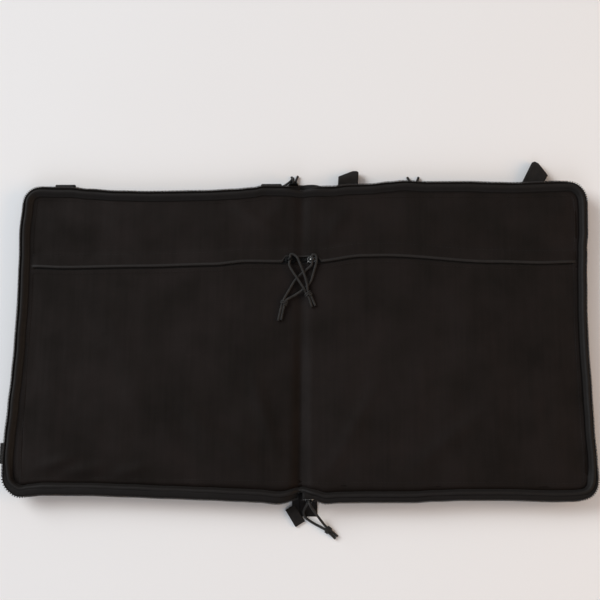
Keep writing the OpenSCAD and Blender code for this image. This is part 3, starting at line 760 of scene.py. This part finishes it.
# %% The edge as a path
RUN_X, RUN_Y, ARC = LEAF_W - CORNER_R, HALF_H - CORNER_R, CORNER_R * math.pi / 2
RIM_MM = 2 * (RUN_X + ARC + RUN_Y)
SWAY = {
    "left": ((0, -2.5), (48, -1.5), (60, -4), (84, -6), (120, -7.6), (190, -8.4), (230, -7.6), (265, -5.2),
             (290, -2.8), (348, -1.8), (384, 0.3), (420, -1), (475, -1.6), (528, -0.7), (564, 0.7),
             (600, 2.9), (640, 5.2), (668, 6.2), (684, 5.8), (697, 3.2), (710, 0.2), (728, -1.4),
             (780, -1.4), (830, 0), (876, 1.6), (924, 3), (960, 4.4), (984, 5.3), (1006, 7.4), (1032, 4.8)),
    "right": ((0, -2.5), (36, -2.6), (60, -0.5), (84, 0), (108, 2.6), (125, 4), (156, 2.6), (204, 2.6),
              (240, 1.3), (258, 0.8), (312, 2.4), (328, 2), (348, -0.6), (384, -1.5), (408, -3.6),
              (444, -5.2), (492, -6.6), (530, -6.4), (576, -5), (624, -4), (660, -2.2), (684, -1.2),
              (700, 0.3), (716, 1.9), (738, 2.3), (792, 1.2), (840, 1.5), (876, 2.9), (900, 4.5),
              (950, 4.8), (984, 5.4), (1002, 6.6), (1014, 3.6), (1032, 2.4)),
}


def rim(s):
    """Point and outward direction at s along the right leaf's edge."""
    if s < RUN_X:
        return Vector((s, HALF_H, 0)), Vector((0, 1, 0))
    if s > RIM_MM / 2:
        point, out = rim(RIM_MM - s)
        return Vector((point.x, -point.y, 0)), Vector((out.x, -out.y, 0))
    a = min(1, (s - RUN_X) / ARC) * math.pi / 2
    out = Vector((math.sin(a), math.cos(a), 0))
    point = Vector((RUN_X, RUN_Y, 0)) + CORNER_R * out
    return point - Vector((0, max(0, s - RUN_X - ARC), 0)), out


def on_side(side, point):
    """A point of the right leaf, or its mirror image on the left one."""
    return Vector((point[0] if side == "right" else -point[0], point[1], point[2]))


print("edge", round(RIM_MM), "mm a leaf")

# %% Binding
# Sections as pairs: how far out from the edge, and how high over the panel or, for the wall, over the shell
HEM = (-10, -0.9), (-8.8, -0.2), (-7.4, 0.15), (-6, 0.15), (-4.8, 0.15)
PIPING = ((-3.4, 0.15), (-1.8, 1.2), (-0.2, 2.9), (1.2, 4.5), (2.6, 5.5), (4.0, 5.7), (5.3, 5.2), (6.2, 3.6),
          (6.4, 0.8), (5.6, -1.8), (3.8, -3.6), (2.2, -4.8))
WALL = (1.0, 2.6), (0.8, 1.4), (0.4, 0.6), (-1, -0.4), (-5, -0.6), (-9.6, -0.5)
# How far the hem and the piping stand back from the zip along the edge
LOW_ARC, LOW_RUN = RIM_MM - RUN_X - ARC, RIM_MM - RUN_X
INSET = {
    "left": ((LOW_ARC - 30, 0), (LOW_RUN + 4, 5)),
    "right": ((RUN_X - 20, 0), (RUN_X + ARC + 20, -1.5), (LOW_ARC - 20, -1.5), (LOW_RUN + 4, 3.2)),
}
TOP_TUCK, LOW_TUCK, TUCK_W = 1, 3, 12
HEM_IN, HEM_OUT = 0.9, 0.3
STEEPEST, CREST_U, SLOPE_U = 2.6, 1.2, 4.6
CLEAR_Z = 0.25


def binding_ring(side, s):
    """Section of the binding at s, from its upper hem over the piping to its lower hem."""
    point, out = rim(s)
    tuck = (TOP_TUCK if point.y > 0 else LOW_TUCK) * math.exp(-(point.x / TUCK_W) ** 2)
    sway, inset = through(SWAY[side], s), through(INSET[side], s)
    at = on_side(side, point + out * HEM[0][0])
    top, bottom = panel_z(at.x, at.y), shell_z(point.x)
    section = [(u + (HEM_IN if sway < 0 else HEM_OUT) * sway - inset, top + h) for u, h in HEM]
    steep = min(STEEPEST, abs(inset))
    piped = [(u + sway - inset + steep * max(0, (CREST_U - u) / SLOPE_U), h) for u, h in PIPING]
    section += [((u if h > 0 else max(u, 0.2)) - tuck, top + h) for u, h in piped]
    section += [(u + max(-1, min(sway, 0)) - tuck, bottom + h) for u, h in WALL]
    return [on_side(side, point + out * u + Vector((0, 0, max(z, CLEAR_Z)))) for u, z in section]


around = spread(0, RIM_MM, 3)
rings = [binding_ring("right", s) for s in around] + [binding_ring("left", s) for s in reversed(around)]
hem = loft("edge_hem", [ring[:len(HEM) + 1] for ring in rings])
piping = loft("edge_binding", [ring[len(HEM):] for ring in rings])
for tape in (piece(hem, pack_cloth, "shell_fabric", FOLD, thick_mm=0.7),
             piece(piping, grosgrain, "binding", FOLD, *both("edge_binding"), thick_mm=0.7)):
    print(tape.name, len(tape.data.polygons), "faces")

# %% [markdown]
# ## Main zip
# Each leaf carries one half of the main zip. Its tape comes out from under the piping and leans outward, and
# the row of teeth stands on its free edge. The end that has no slider tucks in at the spine. Tape and teeth
# follow the same path as the binding, so they sway with it.

# %% Main zip
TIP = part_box("right_main_zip_coil")
TIP_DROP = 0.8
TIP_Z = (TIP[0].z + TIP[1].z) / MM / 2 - TIP_DROP
TIP_OUT = TIP[1].x / MM - LEAF_W - (TIP[1].z - TIP[0].z) / MM / 2
ZIP_START = TIP[0].x / MM
TUCKED_END = {"right": 0, "left": RIM_MM}
TUCKED_MM, TUCKED_IN, TUCKED_DOWN = 14, 4, 7
MAIN_TOOTH, MAIN_PITCH = (1.15, 2.5, 2.5), 1.7
# Rows of the tape: how far in from its free edge, the share of the inset, how far down, and its rise there
LEANING = (6.6, 1, 8.5, 6), (4.6, 1, 3.4, 3.4), (2.4, 0.7, 1.2, 1.5), (0.8, 0.3, 1.1, 0.7), (0, 0, 0.5, 0)


def zip_edge(side, s):
    """Free edge of one leaf's zip tape, on the right leaf's place: point, direction, reach and height."""
    point, out = rim(s)
    tuck = math.exp(-((s - TUCKED_END[side]) / TUCKED_MM) ** 2)
    return point, out, TIP_OUT + through(SWAY[side], s) - TUCKED_IN * tuck, TIP_Z - TUCKED_DOWN * tuck


def main_zip(side):
    """One leaf's half of the main zip: its leaning tape and its row of teeth."""
    rings, spots = [], []
    for s in spread(ZIP_START, RIM_MM - ZIP_START, 3):
        point, out, reach, z = zip_edge(side, s)
        inset = through(INSET[side], s)
        lift = max(0, inset) / 5
        ring = []
        for u, share, down, rise in LEANING:
            up = Vector((0, 0, z - down + rise * lift))
            ring.append(on_side(side, point + out * (reach - u - share * inset) + up))
        rings.append(ring if side == "right" else ring[::-1])
    piece(loft(side + "_main_zip_tape_cloth", rings), zip_twill, "zip_tape", side + "_leaf",
          side + "_main_zip_tape", thick_mm=0.7, offset=0)
    for s in spread(ZIP_START, RIM_MM - ZIP_START, MAIN_PITCH):
        point, out, reach, z = zip_edge(side, s)
        onward = rim(min(s + 1, RIM_MM))[0] - rim(max(s - 1, 0))[0]
        here = on_side(side, point + out * reach + Vector((0, 0, z)))
        spots.append(standing(here, on_side(side, onward)))
    teeth = copies(side + "_main_zip_teeth", MAIN_TOOTH, spots, 0.4)
    # The main zip's teeth are painted lighter, against the shade beside the piping
    piece(teeth, lit_coil_nylon, "zip_coil", side + "_leaf", side + "_main_zip_coil")
    print(side, "main zip", len(spots), "teeth")


for side in SIDES:
    main_zip(side)

# %% [markdown]
# ## Ends of the main zip
# At the top of the spine a sewn cloth stop closes the gap between the two halves of the zip. At the bottom
# both tapes run out into a cloth tab and a folded tag of webbing, which lie on the table. They are lofts too,
# with a section that changes from column to column.

# %% Zip stop and tab
STOP_X, STOP_OUT = (-13, 27), 11
rings = []
for x in spread(*STOP_X, 2):
    z = panel_z(x, HALF_H - 8)
    rounded = 7 * (x / (13 if x < 0 else 30)) ** 4
    section = ((-6, z - 0.4), (-2, z + 0.8), (4, z + 1.3), (8.5, z + 0.4), (STOP_OUT - 0.4, z - 2.5),
               (STOP_OUT, z * 0.5), (STOP_OUT - 0.4, 2.2))
    rings.append([(x, HALF_H + d - rounded * max(0, d) / STOP_OUT, h) for d, h in section])
piece(loft("zip_top_stop_cloth", rings), zip_twill, "zip_tape", FOLD, "zip_top_stop", thick_mm=0.8)

TAB_CORNER = box_mm("zip_end_tag")[1]
TAB_W, TAB_L = 30, 31
TAB_X = TAB_CORNER.x - TAB_W, TAB_CORNER.x
TAB_Y = TAB_CORNER.y - TAB_L, TAB_CORNER.y
rings = []
for x in spread(*TAB_X, 3):
    lift = 1.4 + 0.5 * math.sin(x / 4)
    section = ((-TAB_L, 0.4), (0.4 - TAB_L, 0.9), (3 - TAB_L, 1.1), (-20, 1.2), (-12, 2.2 + 0.4 * lift),
               (-6, 3.2 + lift), (0, shell_z(x) + 0.4 + lift))
    rings.append([(x, TAB_Y[1] + d, h) for d, h in section])
piece(loft("zip_end_tab", rings), zip_twill, "zip_tape", "left_leaf", thick_mm=0.5)
print("tab", TAB_X, TAB_Y)

# %% [markdown]
# ## Webbing
# Handles, tabs and the zip's tag are strips of 25 mm nylon webbing. `ribbon` sweeps the rounded section of a
# strip along a path. A flat plane with thickness would have sharp sides, and webbing has round ones. A `skew`
# shears it, because a strap that is folded under the case rarely lies square.

# %% Ribbons
STRAP_W, STRAP_T = 25, 1.6
LOWER_FACE = [(-.5, -.2), *((a, -.5) for a in (-.48, -.4, -.2, 0, .2, .4, .48)), (.5, -.2)]
STRAP_SECTION = LOWER_FACE + [(-a, -b) for a, b in LOWER_FACE]
ACROSS_X, ACROSS_Y = Vector((1, 0, 0)), Vector((0, 1, 0))


def ribbon(name, path, across=None, width=STRAP_W, skew=None):
    """A strip along a path; without a fixed direction across it, the strip lies flat."""
    rings = []
    for i, point in enumerate(path):
        ahead = path[min(i + 1, len(path) - 1)] - path[max(i - 1, 0)]
        side = across or ahead.cross((0, 0, 1)).normalized()
        up = ahead.cross(side).normalized()
        ring = [point + side * (width * a) + up * (STRAP_T * b) for a, b in STRAP_SECTION]
        rings.append([p + skew(p, width * a) if skew else p for p, (a, b) in zip(ring, STRAP_SECTION)])
    return loft(name, rings, closed=True)


print("webbing", STRAP_W, "mm wide")

# %% How a strap turns under the edge
ANCHOR_Z = sum(c.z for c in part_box("right_handle_anchors")) / 2 / MM
HANDLE_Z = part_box("right_handle")[0].z / MM + STRAP_T / 2
BEND_R = 42 - STRAP_W / 2
EDGE_Y = HALF_H + 6
LEAD = -38, -30, -22, -14, -7, -1
LAP = 0.25
# A slack turn as pairs: the share of its reach, and how far over the upper or the lower layer
SLACK_OVER = (0.4, 2.2), (0.75, 3.8), (0.96, 2.6), (1, -0.8)
SLACK_BACK = (0.9, 1.2), (0.6, 0.1)


def loop_path(x, hinge_y, outer_y, stop_y):
    """A strap that turns under at the edge, tight or slack out to outer_y, and runs back below to stop_y."""
    if outer_y is None:
        radius = (ANCHOR_Z - HANDLE_Z) / 2
        end_y = hinge_y - 2
        turn = [(end_y + d, ANCHOR_Z) for d in LEAD]
        turn += [(end_y + radius * math.sin(a), HANDLE_Z + radius * (1 + math.cos(a)))
                 for a in spread(0, math.pi, 0.3)]
        turn += [(end_y + d, HANDLE_Z) for d in LEAD[::-1] if end_y + d > stop_y + 3]
        return [Vector((x, y, z)) for y, z in turn + [(stop_y, HANDLE_Z + LAP)]]
    slack = outer_y - EDGE_Y
    turn = [(EDGE_Y + d, ANCHOR_Z) for d in LEAD]
    turn += [(EDGE_Y + slack * share, ANCHOR_Z + up) for share, up in SLACK_OVER]
    turn += [(EDGE_Y + slack * share, HANDLE_Z + up) for share, up in SLACK_BACK]
    turn += [(stop_y + 4, HANDLE_Z + 0.2), (stop_y, HANDLE_Z + LAP)]
    return curve([(x, y, z) for y, z in turn], 4)


def askew(path, shift, lean, slant, rounding):
    """How a strap strays: it drifts to the edge, leans outside it, and its fold lies askew and rounded."""
    root, top = path[0].y, max(p.y for p in path)
    start = EDGE_Y - 6

    def stray(p, c):
        """The shift of a point that lies c across the strap."""
        out = max(0, p.y - start) / (top - start)
        rounded = rounding * max(0, math.copysign(2, slant) * c / STRAP_W) ** 4
        up = (slant * c - rounded) * out
        wider = c * (math.hypot(1, lean) - 1) * out
        drift = through(((root, 0), (EDGE_Y - 2, shift)), p.y) + lean * max(0, p.y + up - EDGE_Y)
        return Vector((drift + wider, up, 0))

    return stray


print("straps", round(ANCHOR_Z - HANDLE_Z, 1), "mm apart at the edge")

# %% Handles
# For each leg: where a slack turn ends, then its drift, lean, slant and rounding
LOOPS = {
    "left": ((None, -5, 0, 0, 0), (None, 9, 0, 0, 0)),
    "right": ((209, 8.5, 0.05, 0.4, 5), (215.5, -13, 0.55, -0.9, 6)),
}


def quarter(foot, inward, grip_y, start_deg):
    """The grip's bend beside a foot, as a flat quarter circle."""
    centre = Vector((foot + inward * BEND_R, grip_y + BEND_R, HANDLE_Z))
    return [centre + BEND_R * Vector((math.cos(math.radians(a)), math.sin(math.radians(a)), 0))
            for a in spread(start_deg, start_deg + 90, 90 / 8)]


def handle(side):
    """One carry handle: two sewn anchors, two turns at the edge, and the grip folded under the leaf."""
    low, high = box_mm(side + "_handle")
    anchor_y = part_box(side + "_handle_anchors")[0].y / MM
    joint = hinge(side + "_handle_swing")
    hinge_y = joint[1] / MM
    grip_y = low.y + STRAP_W / 2
    feet, made = [], []
    for leg, (outer_y, *lie) in zip((low.x + STRAP_W / 2, high.x - STRAP_W / 2), LOOPS[side]):
        path = loop_path(leg, hinge_y, outer_y, grip_y + BEND_R)
        stray = askew(path, *lie)
        turn = ribbon(f"{side}_handle_turn_{len(made) + 1}", path, ACROSS_X, skew=stray)
        soft = (ANCHOR_Z - HANDLE_Z) / 2 - STRAP_T * 0.7 if outer_y is None else 0.05
        blend = [side + "_leaf", side + "_handle"]
        blend += [(leg * MM, hinge_y * MM, joint[2] + way * soft * MM) for way in (1, -1)]
        made.append(piece(turn, webbing, "webbing", blend))
        anchor = [Vector((leg, y, ANCHOR_Z)) for y in spread(anchor_y, path[0].y + 1, 6)]
        anchor = ribbon(f"{side}_handle_anchor_{len(made)}", anchor, ACROSS_X)
        made.append(piece(anchor, webbing, "webbing", side + "_leaf"))
        feet.append(leg + stray(path[-1], 0).x)
    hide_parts(side + "_handle_anchors")
    ends = [Vector((foot, grip_y + BEND_R + 4, HANDLE_Z)) for foot in feet]
    grip = [ends[0], *quarter(feet[0], 1, grip_y, 180), *quarter(feet[1], -1, grip_y, 270), ends[1]]
    piece(ribbon(side + "_handle_strap", grip), webbing, "webbing", side + "_handle", side + "_handle")
    print(side, "handle strap", round(travelled(grip)[-1]), "mm, feet at", [round(x, 1) for x in feet])


for side in SIDES:
    handle(side)

# %% Side tab
low, high = box_mm("left_side_tab")
low.x -= 4.5
mid_y = (low.y + high.y) / 2
over, under = high.z - STRAP_T / 2, low.z + STRAP_T / 2
path = ((high.x, over), (high.x - 10, over), (low.x + 5, over + 0.5), (low.x + 1.2, over + 0.2),
        (low.x + 0.3, (over + under) / 2), (low.x + 1.2, under - 0.1), (low.x + 5, under - 0.3),
        (high.x - 10, under), (high.x, under))
tab = ribbon("left_side_tab_loop", curve([(x, mid_y, z) for x, z in path], 4), ACROSS_Y)
piece(tab, webbing, "webbing", "left_leaf", "left_side_tab")
print(tab.name, round(high.x - low.x, 1), "mm long")

# %% Zip tag
TAG_TURN, TAG_W, TAG_L, TAIL_W, TAIL_L = 32, 13, 18, 9, 24
root = Vector((TAB_X[0], TAB_Y[1] - TAIL_L, 0))
path = (4, 5.5), (0, 5.2), (-6, 4.4), (-12, 2.9), (-18, 1.9), (-TAIL_L - 5, 1.7)
path = curve([(root.x + TAIL_W / 2, TAB_Y[1] + d, z) for d, z in path], 3)
piece(ribbon("zip_tail_tape", path, ACROSS_X, TAIL_W), zip_twill, "zip_tape", "left_leaf", "zip_end_tag")
lie = Matrix.Translation(root) @ Matrix.Rotation(math.radians(TAG_TURN), 4, "Z")
path = ((TAIL_W / 2, 1.9), (0, 2.2), (-6, 2.7), (-12, 2.7), (1 - TAG_L, 2.4), (-TAG_L, 1.7), (1 - TAG_L, 1),
        (-12, 0.85), (-6, 0.85), (0, 0.85))
path = curve([lie @ Vector((0, y, z)) for y, z in path], 3)
across = (lie.to_3x3() @ ACROSS_X).normalized()
piece(ribbon("zip_end_tag_fold", path, across, TAG_W), webbing, "webbing", "left_leaf")
print("zip tag", TAG_L, "mm long")

# %% [markdown]
# ## Sliders
# A zip slider is a small zinc casting: a shield-shaped plate that narrows to one end, flanges that hold the
# chain, and a bridge for the pull. Cubes make the plate and flanges, and a half turn of `spin` makes the
# bridge. Extruding an outline would do as well, but the cubes keep their faces tidy for the bevel.

# %% Slider casting
SLIDER_L, PLATE_T, FLANGE_T, BRIDGE_W, BRIDGE_T, BRIDGE_GAP = 12, 1, 1, 3, 0.9, 3.2
NOSE, HEEL = 0.3, 0.1
SHARP = 0.8
RUBBED = "right_pocket", "bottom_main"


def slider(name, base, turn, chain_w, chain_h, flanges, bridge_turn=0):
    """A slider whose chain lies on base; its own Z points away from the tape."""
    bm = bmesh.new()
    blocks = [((0, 0, chain_h + PLATE_T / 2), (SLIDER_L, chain_w, PLATE_T, 1))]
    for side in flanges:
        middle = 0, side * (chain_w - FLANGE_T) / 2, chain_h / 2 + 0.25
        blocks.append((middle, (SLIDER_L, FLANGE_T, chain_h - 0.2, 1)))
    for place, size in blocks:
        bmesh.ops.create_cube(bm, size=1, matrix=Matrix.Translation(place) @ Matrix.Diagonal(size))
    lengthwise = [e for e in bm.edges if abs(e.verts[0].co.x - e.verts[1].co.x) > 1]
    bmesh.ops.subdivide_edges(bm, edges=lengthwise, cuts=3)
    for vert in bm.verts:
        along = vert.co.x / SLIDER_L * 2
        vert.co.y *= 1 - NOSE * max(0, along) ** 2 - HEEL * max(0, -along) ** 3
    cast = set(bm.verts)
    seat = chain_h + PLATE_T - 0.1
    foot = Matrix.Translation((-(BRIDGE_GAP + BRIDGE_T / 2) - 0.05, 0, seat))
    bmesh.ops.create_grid(bm, x_segments=1, y_segments=1, size=0.5,
                          matrix=foot @ Matrix.Diagonal((BRIDGE_T, BRIDGE_W, 1, 1)))
    arch = [v for v in bm.verts if v not in cast]
    arch += [part for parts in (bm.edges, bm.faces) for part in parts if part.verts[0] not in cast]
    bmesh.ops.spin(bm, geom=arch, cent=(0, 0, seat), axis=(0, 1, 0), angle=math.pi, steps=12)
    bmesh.ops.rotate(bm, verts=[v for v in bm.verts if v not in cast], cent=(0, 0, 0),
                     matrix=Matrix.Rotation(math.radians(bridge_turn), 3, "Z"))
    bmesh.ops.remove_doubles(bm, verts=bm.verts, dist=0.001)
    bmesh.ops.recalc_face_normals(bm, faces=bm.faces)
    bmesh.ops.bevel(bm, geom=[e for e in bm.edges if e.calc_face_angle(0) > SHARP], offset=0.22,
                    offset_type="OFFSET", affect="EDGES", segments=2, profile=0.5, material=-1)
    for face in bm.faces:
        face.smooth = True
    bmesh.ops.transform(bm, matrix=Matrix.Scale(MM, 4) @ Matrix.Translation(base) @ turn, verts=bm.verts)
    finish = rubbed_zinc if name in RUBBED else black_zinc
    piece(to_mesh(bm, name + "_slider_casting"), finish, "slider_metal", name + "_slider", name + "_slider")
    print(name, "slider at", [round(c, 1) for c in base])


print("slider", SLIDER_L, "mm long")

# %% Sliders in place
STACK = PLATE_T + BRIDGE_GAP + 1
POCKET_CHAIN, MAIN_CHAIN = (7.8, 1.9), (9.4, 3.1)
TOP_IN = 3


def turned(axis, degrees):
    """A turn about an axis."""
    return Matrix.Rotation(math.radians(degrees), 4, axis)


def slider_box(name):
    """Middle, lowest and highest corner of a CAD slider."""
    low, high = box_mm(name + "_slider")
    return (low + high) / 2, low, high


for name, way in (("left_pocket", 180), ("right_pocket", 0)):
    middle, low, high = slider_box(name)
    base = middle.x, middle.y, high.z - STACK - POCKET_CHAIN[1]
    slider(name, base, turned("Z", way), *POCKET_CHAIN, (-1, 1))
for name in both("outer"):
    middle, low, high = slider_box(name)
    base = middle.x, middle.y, low.z + STACK + POCKET_CHAIN[1]
    slider(name, base, turned("X", 180), *POCKET_CHAIN, (-1, 1), 90)
middle, low, high = slider_box("top_main")
base = middle.x, high.y - STACK - MAIN_CHAIN[1] - TOP_IN, Z_FOLD / MM
slider("top_main", base, turned("X", -90) @ turned("Z", 180), *MAIN_CHAIN, (-1,))
middle, low, high = slider_box("bottom_main")
base = middle.x, low.y + STACK + MAIN_CHAIN[1], Z_FOLD / MM
slider("bottom_main", base, turned("X", 90), *MAIN_CHAIN, (-1,))

# %% [markdown]
# ## Outer shell and outer pockets
# One sheet of pack cloth is the whole outside: both leaves and the spine between them, which drops to the
# table. Each leaf carries a padded pocket below it, which the case rests on, with its own zip. The cover of a
# pad is cut slightly too large for its foam: a short cloth simulation, pinned at the seam and blown up from
# inside, puckers it as no formula does.

# %% Outer shell
SHELL_IN, SHELL_CLEAR_Z = 4, 0.9
SHELL_RUMPLE = 0.35, 40, 40, 5
shell_xs = spread(-LEAF_W + SHELL_IN, -18, 6) + spread(-17, 17, 1.4) + spread(18, LEAF_W - SHELL_IN, 6)
rings = [[(x, y, max(SHELL_CLEAR_Z, shell_z(x) + rumple(x, y, SHELL_RUMPLE)))
          for y in spread(HALF_H - SHELL_IN, SHELL_IN - HALF_H, 6)] for x in shell_xs]
shell = piece(loft("outer_shell", rings), pack_cloth, "shell_fabric", FOLD, *both("outer_shell"),
              "spine_strip", thick_mm=0.8)
print(shell.name, len(shell.data.polygons), "faces")

# %% Swelling of a pad
PAD_R, SEAM_W = 10, 4
PRESSURE, LOOSE, SWELL_FRAMES, SWELL_CAP = 3, -0.015, 20, 4
PAD_GAP = 0.15


def pad_edge(x, y, low, high):
    """Distance of a point from the pocket's rounded outline."""
    from_x, from_y = min(x - low.x, high.x - x), min(y - low.y, high.y - y)
    if from_x < PAD_R and from_y < PAD_R:
        return max(0, PAD_R - math.hypot(PAD_R - from_x, PAD_R - from_y))
    return min(from_x, from_y)


def swell(mesh, low, high):
    """Lets the pad's cover swell under pressure with its seam pinned, and keeps it between table and leaf."""
    obj = bpy.data.objects.new("pad_cover", mesh)
    scene.collection.objects.link(obj)
    seam = obj.vertex_groups.new(name="seam")
    pinned = [v.index for v in mesh.vertices if pad_edge(v.co.x / MM, v.co.y / MM, low, high) < SEAM_W]
    seam.add(pinned, 1, "REPLACE")
    cloth = obj.modifiers.new("cloth", "CLOTH").settings
    cloth.vertex_group_mass = seam.name
    cloth.use_pressure = True
    cloth.uniform_pressure_force = PRESSURE
    cloth.shrink_min = LOOSE
    cloth.effector_weights.gravity = 0
    for step in range(1, SWELL_FRAMES + 1):
        scene.frame_set(step)
    moved = obj.evaluated_get(bpy.context.evaluated_depsgraph_get()).to_mesh()
    farthest = 0
    for vert, there in zip(mesh.vertices, moved.vertices):
        step = there.co - vert.co
        step *= min(1, SWELL_CAP * MM / max(step.length, 1e-9))
        farthest = max(farthest, step.length)
        vert.co += step
        vert.co.z = max((low.z + PAD_GAP) * MM, min((high.z - PAD_GAP) * MM, vert.co.z))
    bpy.data.objects.remove(obj)
    scene.frame_set(1)
    print(mesh.name, "swelled by", round(farthest / MM, 1), "mm")


print("a cover may move", SWELL_CAP, "mm")

# %% Outer pockets
OUTER_ZIP_Y = sum(c.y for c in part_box("right_outer_zip_coil")) / 2 / MM
OUTER_TAPE_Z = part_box("right_outer_zip_tape")[0].z / MM
PAD_ROUND, PAD_FILL, PAD_HOLLOW = 9, 0.7, 1.2
DENTS, DENT_REACH = ((0.5, 45, 45, 2), (0.4, 16, 60, 4)), 30


def outer_pocket(side):
    """The padded pocket under one leaf, drawn a little thin and then swollen."""
    low, high = box_mm(side + "_outer_pocket")
    middle, half = (low.z + high.z) / 2, (high.z - low.z) / 2
    rings = []
    for x in spread(low.x, high.x, 5):
        under, over = [], []
        for y in spread(low.y, high.y, 5):
            d = pad_edge(x, y, low, high)
            bulge = half * math.sqrt(max(0, 1 - (1 - min(d / PAD_ROUND, 1)) ** 2))
            dent = (PAD_HOLLOW + rumple(x, y, *DENTS)) * min(1, d / DENT_REACH)
            under.append((x, y, max(PAD_GAP, middle - bulge + dent)))
            over.append((x, y, middle + max(0.05, bulge - 0.6)))
        rings.append(under + over[::-1])
    mesh = loft(side + "_outer_pocket_pad", rings, closed=True)
    swell(mesh, low, high)
    pad = piece(mesh, pack_cloth, "shell_fabric", side + "_leaf", side + "_outer_pocket",
                side + "_outer_pocket_foam")
    print(pad.name, len(pad.data.polygons), "faces")


for side in SIDES:
    outer_pocket(side)
    low, high = box_mm(side + "_outer_zip_coil")
    nodes = [f"{side}_outer_zip_{kind}" for kind in ("tape", "coil")]
    coil_zip(side + "_outer", lambda x: Vector((x, OUTER_ZIP_Y, OUTER_TAPE_Z)), low.x, high.x,
             spread(low.x, high.x, 8), -1, side + "_leaf", nodes)

# %% [markdown]
# ## Stitches
# A lockstitch shows as a row of short raised threads, about 4 mm apart. Every seam that can be seen has its
# row: the binding's hem, the flap's seam, the pocket's hem, and the box of stitches that holds each strap.
# They could be dashes in the cloth's finish, but real threads catch the light.

# %% Stitches
STITCH, STITCH_PITCH = (2.7, 0.5, 0.5), 4
HEM_STITCH_IN, HEM_STITCH_UP = 1.2, 0.35
FLAP_STITCH = 0.1, 0.75


def stitches(name, paths, slot, body):
    """Rows of short threads along paths, one piece in all."""
    spots = []
    for path in paths:
        far, k = travelled(path), 0
        for s in spread(STITCH_PITCH / 2, far[-1] - STITCH_PITCH / 2, STITCH_PITCH):
            while far[k + 1] < s:
                k += 1
            here = path[k].lerp(path[k + 1], (s - far[k]) / (far[k + 1] - far[k]))
            spots.append(standing(here, path[k + 1] - path[k]))
    piece(copies(name, STITCH, spots, 0.15), thread, slot, body)
    print(name, len(spots), "stitches")


seams = [[binding_ring(side, s)[2] + Vector((0, 0, 0.1)) for s in spread(14, RIM_MM - 14, 4)]
         for side in SIDES]
stitches("binding_stitches", seams, "binding", FOLD)
stitches("flap_stitches", [[flap_point(x, *FLAP_STITCH) for x in panel_xs]], "shell_fabric", FOLD)
seam = []
for x in panel_xs:
    y = ZIP_LOW_Y - HEM_MM + HEM_STITCH_IN + through(ZIP_SAG, x)
    seam.append(Vector((x, y, panel_z(x, y) + HEM_STITCH_UP)))
stitches("pocket_hem_stitches", [seam], "shell_fabric", FOLD)

# %% Boxes of stitches on the straps
BOX_HALF, BOX_LOW, BOX_HIGH = 9, 3, 34
for side in SIDES:
    low, high = box_mm(side + "_handle_anchors")
    seams = []
    for leg in (low.x + STRAP_W / 2, high.x - STRAP_W / 2):
        a, b, c, d = (Vector((leg + x, low.y + y, ANCHOR_Z - STRAP_T / 2 - 0.05)) for x, y in (
            (-BOX_HALF, BOX_LOW), (BOX_HALF, BOX_LOW), (BOX_HALF, BOX_HIGH), (-BOX_HALF, BOX_HIGH)))
        seams += [[a, b], [b, c], [c, d], [d, a], [a, c], [b, d]]
    stitches(side + "_anchor_stitches", seams, "webbing", side + "_leaf")

# %% [markdown]
# ## Hidden layers
# The board, foam and lining keep their CAD shapes, because they lie inside the leaves. They only need a
# finish.

# %% Hidden layers
for node, finish in (("stiffener_board", board), ("foam_pad", foam), ("lining", taffeta)):
    for name in both(node):
        frame["nodes"][name].data.materials.clear()
        frame["nodes"][name].data.materials.append(finish)
    print(node, "in", finish.name)
